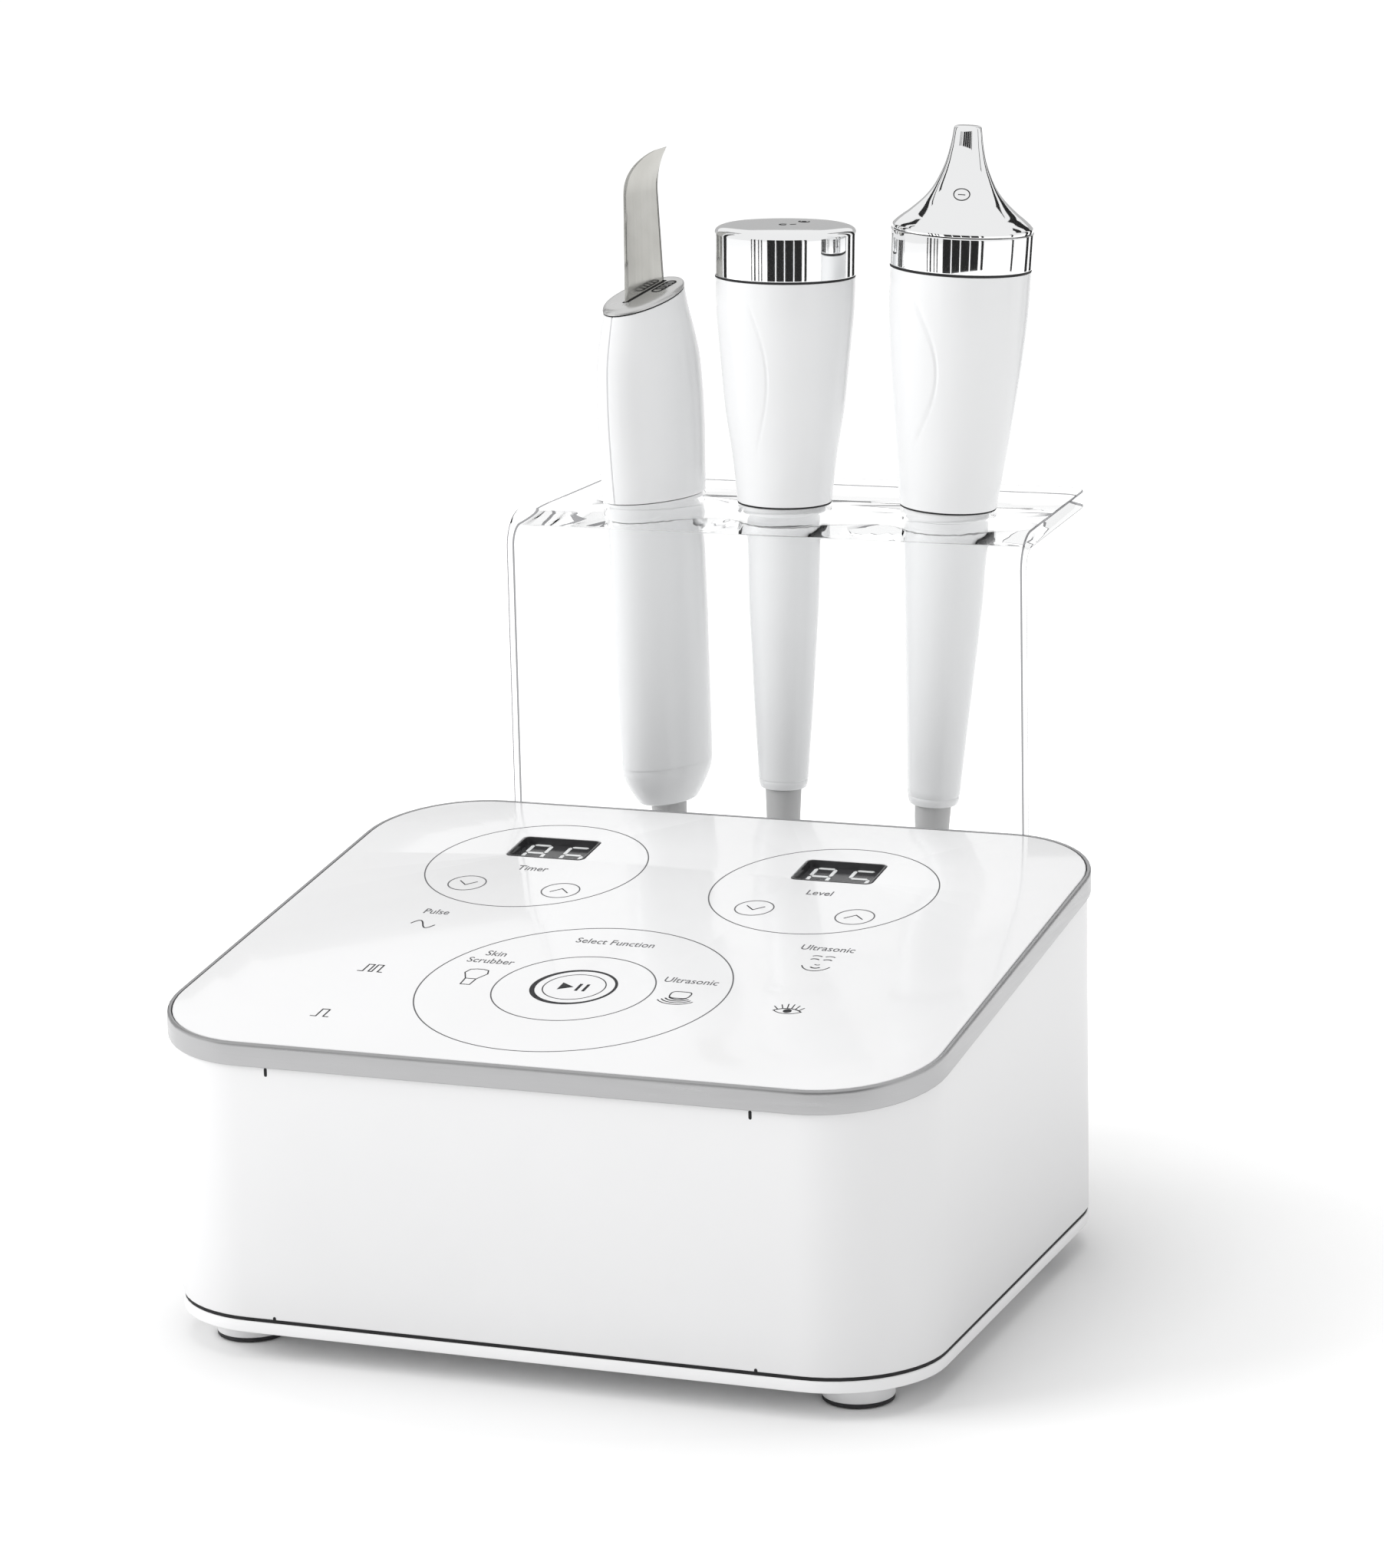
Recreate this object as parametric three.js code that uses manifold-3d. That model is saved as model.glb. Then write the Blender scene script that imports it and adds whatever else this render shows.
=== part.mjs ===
// Desktop facial unit: a wedge-shaped console with an inclined touch panel, a bent clear sheet
// behind it that holds three handpieces (a skin scrubber, a face probe and an eye probe).
// Millimetres, +Z up. X runs across the front, Y runs from the front to the back.
// The console is drawn about its own centre, and the whole model is then moved so that the
// origin is the bottom centre of its box.
import * as THREE from 'three';
import { mergeVertices } from 'three/addons/utils/BufferGeometryUtils.js';
import Module from 'manifold-3d';

const wasm = await Module();
wasm.setup();

// ---------------------------------------------------------------- driving dimensions
const gap = 0.3;                  // assembly gap between neighbouring pieces
const console_ = {
  width: 210, depth: 178, corner: 30,
  topHeight: 96,                  // height of the panel's face at the console's centre
  tiltDeg: 7.5,                   // panel slope, rising to the back
  step: 1.1,                      // how far the rim stands proud of the body
  wall: 2.6, bottom: 10.8,        // body shell's wall and lower edge
};
const rim = { height: 6, lip: 1.1, ledge: 6 };
const panel = { thickness: 2 };
const plate = { thickness: 3.4, lipHeight: 3.5, lipWall: 2 };
const foot = { radius: 9.3, inset: 21.5, padHeight: 1.2 };
const display = { x: [-46.8, 37.6], y: [55.5, 52.7], width: 22.8, height: 14.8, bodyMargin: 3, bodyDepth: 7 };
const holder = {
  thickness: 5, bendRadius: 10, centreX: 2.5, width: 151, shelfTop: 190, shelfDepth: 80, shelfTaper: 5.5,
  aboveRow: 23, clearBehindRim: 0.4, corner: 7, holeBehindPlate: 35.6,
  screwX: 50, screwAboveLow: 8, screwBelowRim: 13.7, screwRadius: 2, headRadius: 4, headHeight: 2.6,
};
const collar = { radius: 12.7, proud: 0.2, holeClearance: 0.45, seat: 0.15 };
const rearRow = { z: 33, socketX: [-62, -40, -18], fuseX: 4, switchX: 28, inletX: 57 };
const fuse = { capRadius: 8, bodyRadius: 6, cap: 4, depth: 22 };
const socket = { flangeRadius: 9, bodyRadius: 7.2, boreRadius: 5, flange: 2.4, depth: 14, boreDepth: 9 };
const inlet = { width: 27, height: 20, depth: 20, recess: 15, recessWidth: 22, recessHeight: 15, flange: 2.4, rim: 3 };
const rocker = { width: 12, height: 18, frameRim: 2.6, frameDepth: 14, swingDeg: 12, proud: 2.2 };
const scrubber = {
  x: -42, leanDeg: -1.6, turnDeg: -16, ovalRatio: 1.6, seat: 0.25, barrelTop: 10.9,
  bezelHeight: 56, slantDeg: 12.5, bezelThickness: 1.8, blade: 0.6, bladeWidth: 18.4,
};
const faceProbe = { x: -2.8, leanDeg: 1.3, lift: 0.6 };
const eyeProbe = { x: 45.5, leanDeg: 3.8, lift: 1.2 };
const reliefLength = 30;
const round = 32;                 // facets on a full turn of the handpieces

// ---------------------------------------------------------------- worked-out values
const tilt = THREE.MathUtils.degToRad(console_.tiltDeg);
const slope = Math.tan(tilt);
const frontY = -console_.depth / 2;
const rearY = console_.depth / 2;
const plateFrontY = rearY + holder.clearBehindRim;
const shelfBackY = plateFrontY + holder.shelfDepth;
const bodyRearY = rearY - console_.step;
const holeRadius = collar.radius + collar.holeClearance;
const probeSeat = holeRadius + collar.seat;       // a probe's foot rests on the rim of its hole
const gripBottom = scrubber.barrelTop + collar.holeClearance + scrubber.seat;
const rimRearTop = console_.topHeight + slope * rearY;
const plateLow = rearRow.z + holder.aboveRow;     // the sheet ends above the back wall's fittings
const holeY = plateFrontY + holder.holeBehindPlate;

// ---------------------------------------------------------------- helpers
function material(color, roughness, metalness, extra = {}) {
  return new THREE.MeshStandardMaterial({ color, roughness, metalness, ...extra });
}

const white = material(0xf2f2f3, 0.45, 0);
const gloss = material(0xf6f6f7, 0.12, 0);
const silver = material(0xb9babc, 0.35, 0.8);
const chrome = material(0xd8d9db, 0.06, 1);
const steel = material(0xa9a59e, 0.25, 1);
const grey = material(0x8e8e90, 0.6, 0);
const black = material(0x1b1b1d, 0.5, 0);
const board = material(0x1e6b3c, 0.6, 0);
const copper = material(0x9c6a3c, 0.5, 0.6);
const clear = material(0xe9eef0, 0.05, 0, { transparent: true, opacity: 0.35 });
const ceramic = material(0xcfcabd, 0.6, 0);

// Faces point outwards: the winding is turned round where the signed volume is negative.
function outward(geometry) {
  const shape = geometry.index ? geometry.toNonIndexed() : geometry;
  shape.deleteAttribute('normal');
  shape.deleteAttribute('uv');
  const merged = mergeVertices(shape, 1e-4);
  const p = merged.attributes.position;
  const index = merged.index.array;
  const [a, b, c] = [new THREE.Vector3(), new THREE.Vector3(), new THREE.Vector3()];
  const kept = [];
  let volume = 0;
  for (let i = 0; i < index.length; i += 3) {
    if (index[i] === index[i + 1] || index[i + 1] === index[i + 2] || index[i] === index[i + 2]) continue;
    kept.push(index[i], index[i + 1], index[i + 2]);
    a.fromBufferAttribute(p, index[i]);
    b.fromBufferAttribute(p, index[i + 1]);
    c.fromBufferAttribute(p, index[i + 2]);
    volume += a.dot(b.cross(c));
  }
  if (volume < 0) {
    for (let i = 0; i < kept.length; i += 3) [kept[i], kept[i + 1]] = [kept[i + 1], kept[i]];
  }
  merged.setIndex(kept);
  return merged;
}

function solid(geometry) {
  const g = outward(geometry);
  return new wasm.Manifold(new wasm.Mesh({
    numProp: 3,
    vertProperties: new Float32Array(g.attributes.position.array),
    triVerts: new Uint32Array(g.index.array),
  }));
}

function geometryOf(body) {
  const mesh = body.getMesh();
  const g = new THREE.BufferGeometry();
  g.setAttribute('position', new THREE.BufferAttribute(new Float32Array(mesh.vertProperties), 3));
  g.setIndex([...mesh.triVerts]);
  g.computeVertexNormals();
  return g;
}

const join = (first, ...rest) => rest.reduce((sum, body) => sum.add(body), first);
const cut = (first, ...rest) => rest.reduce((left, body) => left.subtract(body), first);

function roundedRect(width, depth, radius) {
  const [w, d] = [width / 2, depth / 2];
  const r = Math.min(radius, w, d);
  const s = new THREE.Shape();
  s.moveTo(w - r, -d);
  s.absarc(w - r, -d + r, r, -Math.PI / 2, 0);
  s.absarc(w - r, d - r, r, 0, Math.PI / 2);
  s.absarc(-w + r, d - r, r, Math.PI / 2, Math.PI);
  s.absarc(-w + r, -d + r, r, Math.PI, Math.PI * 1.5);
  s.closePath();
  return s;
}

// A straight prism of an outline, from height low to height high.
function prism(shape, low, high, segments = 8) {
  const g = new THREE.ExtrudeGeometry(shape, { depth: high - low, bevelEnabled: false, curveSegments: segments });
  return g.translate(0, 0, low);
}

function box(width, depth, low, high, x = 0, y = 0) {
  return new THREE.BoxGeometry(width, depth, high - low).translate(x, y, (low + high) / 2);
}

// A turned piece about Z from a closed profile of [radius, height] points.
function turned(profile, facets = round) {
  const points = profile.map(([r, z]) => new THREE.Vector2(r, z));
  if (profile[0][0] > 0 || profile.at(-1)[0] > 0) points.push(points[0].clone());
  return new THREE.LatheGeometry(points, facets).rotateX(Math.PI / 2);
}

function rod(radius, low, high, facets = 16) {
  return turned([[0, low], [radius, low], [radius, high], [0, high]], facets);
}

// A rod lying along Y, from one Y to another.
function rodY(radius, from, to, x, z, facets = 16) {
  return rod(radius, from, to, facets).rotateX(-Math.PI / 2).translate(x, 0, z);
}

// Everything above (or below) the panel's inclined plane, lowered by drop.
function inclined(drop, above = true) {
  const size = 500;
  const g = new THREE.BoxGeometry(size, size, size).translate(0, 0, above ? size / 2 : -size / 2);
  return solid(g.rotateX(tilt).translate(0, 0, console_.topHeight - drop));
}

const root = new THREE.Group();

function piece(parent, name, shape, look) {
  const geometry = shape instanceof wasm.Manifold ? geometryOf(shape) : outward(shape);
  const mesh = new THREE.Mesh(geometry, look);
  mesh.name = name;
  parent.add(mesh);
  return mesh;
}

const outline = (inset) => roundedRect(
  console_.width - 2 * inset, console_.depth - 2 * inset, console_.corner - inset);
const tall = console_.topHeight + console_.depth;

// ---------------------------------------------------------------- console casing
const postX = console_.width / 2 - console_.step - console_.wall - 3.6;
const postPlaces = [[-postX, -45], [postX, -45], [-postX, 45], [postX, 45]];
const caseScrew = { radius: 1.5, headRadius: 3, pilot: 1.9, post: 5, postTop: console_.topHeight - 41, pilotCap: 4, spare: 11 };
const holderScrews = [plateLow + holder.screwAboveLow, rimRearTop - holder.screwBelowRim].flatMap(
  (z) => [-1, 1].map((side) => [holder.centreX + side * holder.screwX, z]));
const holderPilot = holder.screwRadius + gap;
const switchOpening = { width: rocker.width + 2 * rocker.frameRim, height: rocker.height + 2 * rocker.frameRim };
const wallCut = (width, height, x) => solid(
  new THREE.BoxGeometry(width + 2 * gap, 20, height + 2 * gap).translate(x, bodyRearY, rearRow.z));

function bodyShell() {
  const outer = solid(prism(outline(console_.step), console_.bottom, tall));
  const inner = solid(prism(outline(console_.step + console_.wall), console_.bottom - 1, tall + 1));
  const posts = postPlaces.map(([x, y]) => solid(
    rod(caseScrew.post, console_.bottom + plate.lipHeight + 1, caseScrew.postTop).translate(x, y, 0)));
  const bosses = holderScrews.map(([x, z]) => solid(
    rodY(5, bodyRearY - console_.wall - 7, bodyRearY - 1, x, z)));
  const body = join(cut(outer, inner), ...posts, ...bosses);
  return cut(
    body,
    inclined(rim.height + gap),
    ...postPlaces.map(([x, y]) => solid(rod(caseScrew.pilot, 0, caseScrew.postTop - caseScrew.pilotCap).translate(x, y, 0))),
    ...holderScrews.map(([x, z]) => solid(rodY(holderPilot, bodyRearY - 14, bodyRearY + 5, x, z))),
    ...rearRow.socketX.map((x) => solid(rodY(socket.bodyRadius + gap, bodyRearY - 10, bodyRearY + 5, x, rearRow.z))),
    solid(rodY(fuse.bodyRadius + gap, bodyRearY - 10, bodyRearY + 5, rearRow.fuseX, rearRow.z)),
    wallCut(rocker.width + 2, rocker.height + 2, rearRow.switchX),
    wallCut(inlet.width, inlet.height, rearRow.inletX),
  );
}
piece(root, 'body_shell', bodyShell(), white);

function topRim() {
  const band = cut(solid(prism(outline(0), 0, tall)), inclined(0), inclined(rim.height, false));
  const pocket = cut(solid(prism(outline(rim.lip), 0, tall)), inclined(panel.thickness + gap, false));
  return cut(band, pocket, solid(prism(outline(rim.ledge), 0, tall)));
}
piece(root, 'top_rim', topRim(), silver);

function touchPanel() {
  const sheet = cut(solid(prism(outline(rim.lip + gap), 0, tall)), inclined(0), inclined(panel.thickness, false));
  const windows = display.x.map((x, i) => solid(
    new THREE.BoxGeometry(display.width + 2 * gap, display.height + 2 * gap, 20)
      .translate(x, display.y[i] / Math.cos(tilt), 0).rotateX(tilt).translate(0, 0, console_.topHeight)));
  return cut(sheet, ...windows);
}
piece(root, 'touch_panel', touchPanel(), gloss);

// Pieces under the panel are drawn flat, and this group tilts them with it.
const underPanel = new THREE.Group();
underPanel.position.z = console_.topHeight;
underPanel.rotation.x = tilt;
root.add(underPanel);
display.x.forEach((x, i) => {
  const y = display.y[i] / Math.cos(tilt);
  const under = -panel.thickness - gap;
  const face = solid(box(display.width, display.height, under - 1, 0, x, y));
  const body = solid(box(display.width + 2 * display.bodyMargin, display.height + 2 * display.bodyMargin,
    under - display.bodyDepth, under, x, y));
  piece(underPanel, ['timer_display', 'level_display'][i], join(face, body), black);
});
const boardTop = -panel.thickness - display.bodyDepth - 2 * gap;
const spacerX = console_.width / 2 - 27;
const spacerY = console_.depth / 2 - 27;
piece(underPanel, 'control_board', join(
  solid(prism(roundedRect(2 * spacerX + 14, 2 * spacerY + 14, 8), boardTop - 1.6, boardTop, 4)),
  ...[[-1, -1], [1, -1], [-1, 1], [1, 1]].map(([sx, sy]) => solid(
    rod(3, boardTop - 1, -panel.thickness - gap, 12).translate(sx * spacerX, sy * spacerY, 0)))), board);

// ---------------------------------------------------------------- bottom plate and feet
const plateTop = console_.bottom - gap;
const plateBottom = plateTop - plate.thickness;
function bottomPlate() {
  const lipInset = console_.step + console_.wall + gap;
  const lip = cut(
    solid(prism(outline(lipInset), plateTop - 1, plateTop + plate.lipHeight)),
    solid(prism(outline(lipInset + plate.lipWall), plateTop - 2, tall)));
  const flat = solid(prism(outline(console_.step), plateBottom, plateTop));
  const stands = [[-45, -30], [45, -30], [-45, 30], [45, 30]].map(([x, y]) => solid(
    rod(3, plateTop - 1, plateTop + 7, 12).translate(x, y, 0)));
  return cut(
    join(flat, lip, ...stands),
    ...postPlaces.map(([x, y]) => solid(rod(caseScrew.headRadius + gap, plateBottom - 1, plateBottom + 1.8).translate(x, y, 0))),
    ...postPlaces.map(([x, y]) => solid(rod(caseScrew.pilot, 0, 20).translate(x, y, 0))),
    ...postPlaces.map(([x, y]) => solid(rod(caseScrew.post + gap, plateTop, 40).translate(x, y, 0))));
}
piece(root, 'bottom_plate', bottomPlate(), white);

const footX = console_.width / 2 - foot.inset;
const footY = console_.depth / 2 - foot.inset;
for (const [name, sx, sy] of [['front_left', -1, -1], ['front_right', 1, -1], ['rear_left', -1, 1], ['rear_right', 1, 1]]) {
  const spot = new THREE.Group();
  spot.position.set(sx * footX, sy * footY, 0);
  root.add(spot);
  piece(spot, `foot_${name}`, rod(foot.radius, foot.padHeight + gap, plateBottom - gap, 24), white);
  piece(spot, `foot_pad_${name}`, rod(foot.radius, 0, foot.padHeight, 24), black);
}
const screwTop = caseScrew.postTop - caseScrew.pilotCap - caseScrew.spare;
postPlaces.forEach(([x, y], i) => {
  const screw = turned([[0, plateBottom + 0.2], [caseScrew.headRadius, plateBottom + 0.2],
    [caseScrew.headRadius, plateBottom + 1.5], [caseScrew.radius, plateBottom + 1.5],
    [caseScrew.radius, screwTop], [0, screwTop]], 12);
  piece(root, `case_screw_${i + 1}`, screw.translate(x, y, 0), steel);
});

// ---------------------------------------------------------------- electronics
const boardZ = plateTop + 7 + gap;
piece(root, 'main_board', box(124, 92, boardZ, boardZ + 1.6, 0, -2), board);
piece(root, 'mains_transformer', join(
  solid(box(46, 38, boardZ + 2, boardZ + 40, -34, 12)),
  solid(box(30, 50, boardZ + 9, boardZ + 33, -34, 12))), copper);
piece(root, 'driver_board', box(58, 1.6, boardZ + 2, boardZ + 40, 30, 22), board);
const fins = [...Array(5).keys()].map((i) => solid(box(2, 16, boardZ + 5, boardZ + 34, 12 + i * 8, 11)));
piece(root, 'heat_sink', join(solid(box(38, 3, boardZ + 5, boardZ + 34, 28, 19.4)), ...fins), steel);
piece(root, 'buzzer', rod(6, boardZ + 2, boardZ + 10).translate(38, -28, 0), black);

// ---------------------------------------------------------------- back wall fittings
const outside = bodyRearY + gap;
['scrubber_socket', 'face_probe_socket', 'eye_probe_socket'].forEach((name, i) => {
  const x = rearRow.socketX[i];
  piece(root, name, cut(
    join(
      solid(rodY(socket.flangeRadius, outside, outside + socket.flange, x, rearRow.z, 20)),
      solid(rodY(socket.bodyRadius, outside - socket.depth, outside + 1, x, rearRow.z, 20))),
    solid(rodY(socket.boreRadius, outside + socket.flange - socket.boreDepth, outside + 10, x, rearRow.z, 20))), black);
});
piece(root, 'fuse_cap', cut(
  join(solid(rodY(fuse.capRadius, outside, outside + fuse.cap, rearRow.fuseX, rearRow.z)),
    solid(rodY(fuse.bodyRadius, outside - fuse.depth, outside + 1, rearRow.fuseX, rearRow.z))),
  solid(new THREE.BoxGeometry(1.25 * fuse.capRadius, 2.4, 1.6)
    .translate(rearRow.fuseX, outside + fuse.cap, rearRow.z))), black);

function blockY(width, height, from, to, x) {
  return solid(new THREE.BoxGeometry(width, to - from, height).translate(x, (from + to) / 2, rearRow.z));
}
piece(root, 'power_inlet', cut(
  join(
    blockY(inlet.width + 2 * inlet.rim, inlet.height + 2 * inlet.rim, outside, outside + inlet.flange, rearRow.inletX),
    blockY(inlet.width, inlet.height, outside - inlet.depth, outside + 1, rearRow.inletX)),
  blockY(inlet.recessWidth, inlet.recessHeight, outside + inlet.flange - inlet.recess, outside + 10, rearRow.inletX)), black);
piece(root, 'switch_frame', cut(
  join(
    blockY(switchOpening.width, switchOpening.height, outside, outside + 1.6, rearRow.switchX),
    blockY(rocker.width + 2, rocker.height + 2, outside - rocker.frameDepth, outside + 1, rearRow.switchX)),
  blockY(rocker.width + 2 * gap, rocker.height + 2 * gap, outside - rocker.frameDepth + 2, outside + 10, rearRow.switchX)),
black);

// The rocker: a shallow vee seen from the side, on a cross pivot at mid height. It rests with
// its lower half pressed in, and swings through twice its tilt.
function rockerSolid() {
  const half = rocker.height / 2 - gap;
  const side = new THREE.Shape();
  side.moveTo(-half, 0);
  side.lineTo(-half, rocker.proud);
  side.lineTo(0, rocker.proud * 0.55);
  side.lineTo(half, rocker.proud);
  side.lineTo(half, 0);
  side.absarc(0, -half * 0.2, half * 0.62, 0, -Math.PI, true);
  side.closePath();
  return prism(side, -rocker.width / 2 + gap, rocker.width / 2 - gap, 10);
}
const rockerPivotY = outside + 0.6;
const rockerMesh = piece(root, 'power_rocker', rockerSolid(), black);
rockerMesh.position.set(rearRow.switchX, rockerPivotY, rearRow.z);
rockerMesh.rotation.set(0, 0, 0);
rockerMesh.geometry.rotateY(Math.PI / 2).rotateX(THREE.MathUtils.degToRad(rocker.swingDeg));

// ---------------------------------------------------------------- acrylic holder
function holderSheet() {
  const t = holder.thickness;
  const r = holder.bendRadius;
  const left = holder.centreX - holder.width / 2;
  // side profile in Y (first) and Z (second), carried across the width
  const side = new THREE.Shape();
  side.moveTo(plateFrontY, plateLow);
  side.lineTo(plateFrontY, holder.shelfTop - r);
  side.absarc(plateFrontY + r, holder.shelfTop - r, r, Math.PI, Math.PI / 2, true);
  side.lineTo(shelfBackY, holder.shelfTop);
  side.lineTo(shelfBackY, holder.shelfTop - t);
  side.lineTo(plateFrontY + r, holder.shelfTop - t);
  side.absarc(plateFrontY + r, holder.shelfTop - r, r - t, Math.PI / 2, Math.PI, false);
  side.lineTo(plateFrontY + t, plateLow);
  side.closePath();
  const swept = new THREE.ExtrudeGeometry(side, { depth: holder.width, bevelEnabled: false, curveSegments: 10 });
  // the profile's first axis becomes Y, its second Z, and the sweep runs along X
  swept.applyMatrix4(new THREE.Matrix4().set(0, 0, 1, left, 1, 0, 0, 0, 0, 1, 0, 0, 0, 0, 0, 1));
  // only what lies inside this outline is kept: rounded rear corners, and a right side that
  // runs straight up the plate and then draws in along the shelf
  const right = left + holder.width;
  const bendEnd = plateFrontY + r;
  const drawIn = holder.shelfTaper / (shelfBackY - bendEnd);
  const cornerY = shelfBackY - holder.corner;
  const backRight = right - holder.shelfTaper;
  const outline = new THREE.Shape();
  outline.moveTo(left, plateFrontY - 50);
  outline.lineTo(right, plateFrontY - 50);
  outline.lineTo(right, bendEnd);
  outline.lineTo(right - drawIn * (cornerY - bendEnd), cornerY);
  outline.quadraticCurveTo(backRight, shelfBackY, backRight - holder.corner, shelfBackY);
  outline.lineTo(left + holder.corner, shelfBackY);
  outline.quadraticCurveTo(left, shelfBackY, left, cornerY);
  outline.closePath();
  const keep = prism(outline, 0, holder.shelfTop + 20, 6);
  const hole = (x, radius, ratio, turn) => solid(
    rod(radius, holder.shelfTop - 20, holder.shelfTop + 20, round).scale(1, ratio, 1)
      .rotateZ(THREE.MathUtils.degToRad(turn)).translate(x, holeY, 0));
  return cut(
    solid(swept).intersect(solid(keep)),
    hole(scrubber.x, scrubber.barrelTop + collar.holeClearance, scrubber.ovalRatio, scrubber.turnDeg),
    hole(faceProbe.x, holeRadius, 1, 0),
    hole(eyeProbe.x, holeRadius, 1, 0),
    ...holderScrews.map(([x, z]) => solid(rodY(holderPilot, plateFrontY - 5, plateFrontY + t + 5, x, z))));
}
piece(root, 'acrylic_holder', holderSheet(), clear);

holderScrews.forEach(([x, z], i) => {
  const behind = plateFrontY + holder.thickness + gap;
  const screw = cut(
    join(
      solid(rodY(holder.headRadius, behind, behind + holder.headHeight, x, z)),
      solid(rodY(holder.screwRadius, bodyRearY - 6, behind + 1, x, z))),
    solid(rodY(1.5, behind + 1.2, behind + 10, x, z, 6)));
  piece(root, `holder_screw_${i + 1}`, screw, steel);
});

// ---------------------------------------------------------------- handpieces
// Each is drawn upright on its own axis, with height 0 at the shelf's top face, and then
// leans and turns about the middle of its hole.
function handpiece({ x, leanDeg, turnDeg = 0, lift = 0 }) {
  const lean = new THREE.Group();
  lean.position.set(x, holeY, holder.shelfTop);
  lean.rotation.y = THREE.MathUtils.degToRad(leanDeg);
  root.add(lean);
  const turn = new THREE.Group();
  turn.position.z = lift;
  turn.rotation.z = THREE.MathUtils.degToRad(turnDeg);
  lean.add(turn);
  return turn;
}

// A tapered strain relief hanging from height top, with a blind hole for its lead.
function strainRelief(parent, name, top) {
  const low = top - reliefLength;
  piece(parent, name, turned([[0, top], [5.1, top], [4.7, top - 10], [3.6, low + 1], [3.2, low], [2.3, low],
    [2.3, low + 6], [0, low + 6]], 16), grey);
}

// --- scrubber: an oval section, ovalRatio times as deep as it is wide
const scrub = handpiece({ ...scrubber, lift: 0.6 });
const slant = THREE.MathUtils.degToRad(scrubber.slantDeg);
const oval = (geometry) => geometry.scale(1, scrubber.ovalRatio, 1);
function aboveSlant(height) {
  const g = new THREE.BoxGeometry(200, 200, 200).translate(0, 0, 100);
  return solid(g.rotateX(slant).translate(0, 0, height));
}
const gripOuter = [[gripBottom, 0], [11.95, 10.5], [12.15, 24.5], [11.75, 38], [10.6, 47], [9.6, 53],
  [8.9, 60], [8.6, 70]];
const gripWall = 2.2;
function gripShell() {
  const outer = solid(oval(turned([[0, 0], ...gripOuter, [0, 70]])));
  const inner = solid(oval(turned([[0, -1], [gripBottom - gripWall, -1], [9.8, 24], [9.2, 38], [6.4, 66], [0, 66]])));
  return cut(outer, inner, aboveSlant(scrubber.bezelHeight));
}
const slot = { width: scrubber.bladeWidth + 2 * gap, thickness: scrubber.blade + 2 * gap };
piece(scrub, 'scrubber_grip', gripShell(), white);
function bezel() {
  const body = solid(oval(turned([[0, 0], ...gripOuter, [0, 70]])));
  return cut(
    body.intersect(aboveSlant(scrubber.bezelHeight + gap)),
    aboveSlant(scrubber.bezelHeight + gap + scrubber.bezelThickness),
    solid(box(slot.thickness, slot.width, 0, 100)));
}
piece(scrub, 'scrubber_bezel', bezel(), silver);
// The blade: a thin tapering strip whose last stretch bends over; its profile runs in X and Z.
function bladeStrip() {
  const t = scrubber.blade;
  const [low, bend, tip] = [40, 88, 98];
  const lean = 0.27 * (tip - bend);
  const side = new THREE.Shape();
  side.moveTo(-t / 2, low);
  side.lineTo(-t / 2, bend);
  side.quadraticCurveTo(-t / 2, bend + 5, -t / 2 + lean, tip);
  side.lineTo(t / 2 + lean, tip);
  side.quadraticCurveTo(t / 2, bend + 5, t / 2, bend);
  side.lineTo(t / 2, low);
  side.closePath();
  const sheet = new THREE.ExtrudeGeometry(side, { depth: 30, bevelEnabled: false, curveSegments: 4 })
    .translate(0, 0, -15).rotateX(Math.PI / 2);
  const face = new THREE.Shape();
  const half = scrubber.bladeWidth / 2;
  face.moveTo(-half, low - 1);
  face.lineTo(-half, 56);
  face.lineTo(-7.7, bend - 2);
  face.quadraticCurveTo(-7.2, tip - 2, 0, tip);
  face.lineTo(7.2, tip + 1);
  face.lineTo(7.6, bend);
  face.lineTo(half, 56);
  face.lineTo(half, low - 1);
  face.closePath();
  const outlineY = new THREE.ExtrudeGeometry(face, { depth: 20, bevelEnabled: false, curveSegments: 8 })
    .translate(0, 0, -10);
  // the outline's first axis becomes Y, its second Z
  outlineY.applyMatrix4(new THREE.Matrix4().set(0, 0, 1, 0, 1, 0, 0, 0, 0, 1, 0, 0, 0, 0, 0, 1));
  return solid(sheet).intersect(solid(outlineY));
}
piece(scrub, 'scrubber_blade', bladeStrip(), steel);
piece(scrub, 'scrubber_transducer', oval(turned([[0, 6], [4.2, 6], [4.2, 26], [5, 26], [5, 39.5], [0, 39.5]], 24)), ceramic);
piece(scrub, 'scrubber_barrel', oval(turned([[8.7, -0.3], [scrubber.barrelTop, -0.3], [scrubber.barrelTop, -12], [10.8, -45],
  [10.45, -76], [8.2, -76]])), white);
piece(scrub, 'scrubber_end_cap', cut(
  solid(oval(turned([[0, -76.3], [10.35, -76.3], [10.2, -79.5], [8.4, -84.6], [6.4, -88.2], [0, -88.2]]))),
  solid(oval(turned([[0, -70], [8, -70], [8, -78.5], [6.2, -84], [0, -84]])))), white);
strainRelief(scrub, 'scrubber_strain_relief', -88.5);

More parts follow.
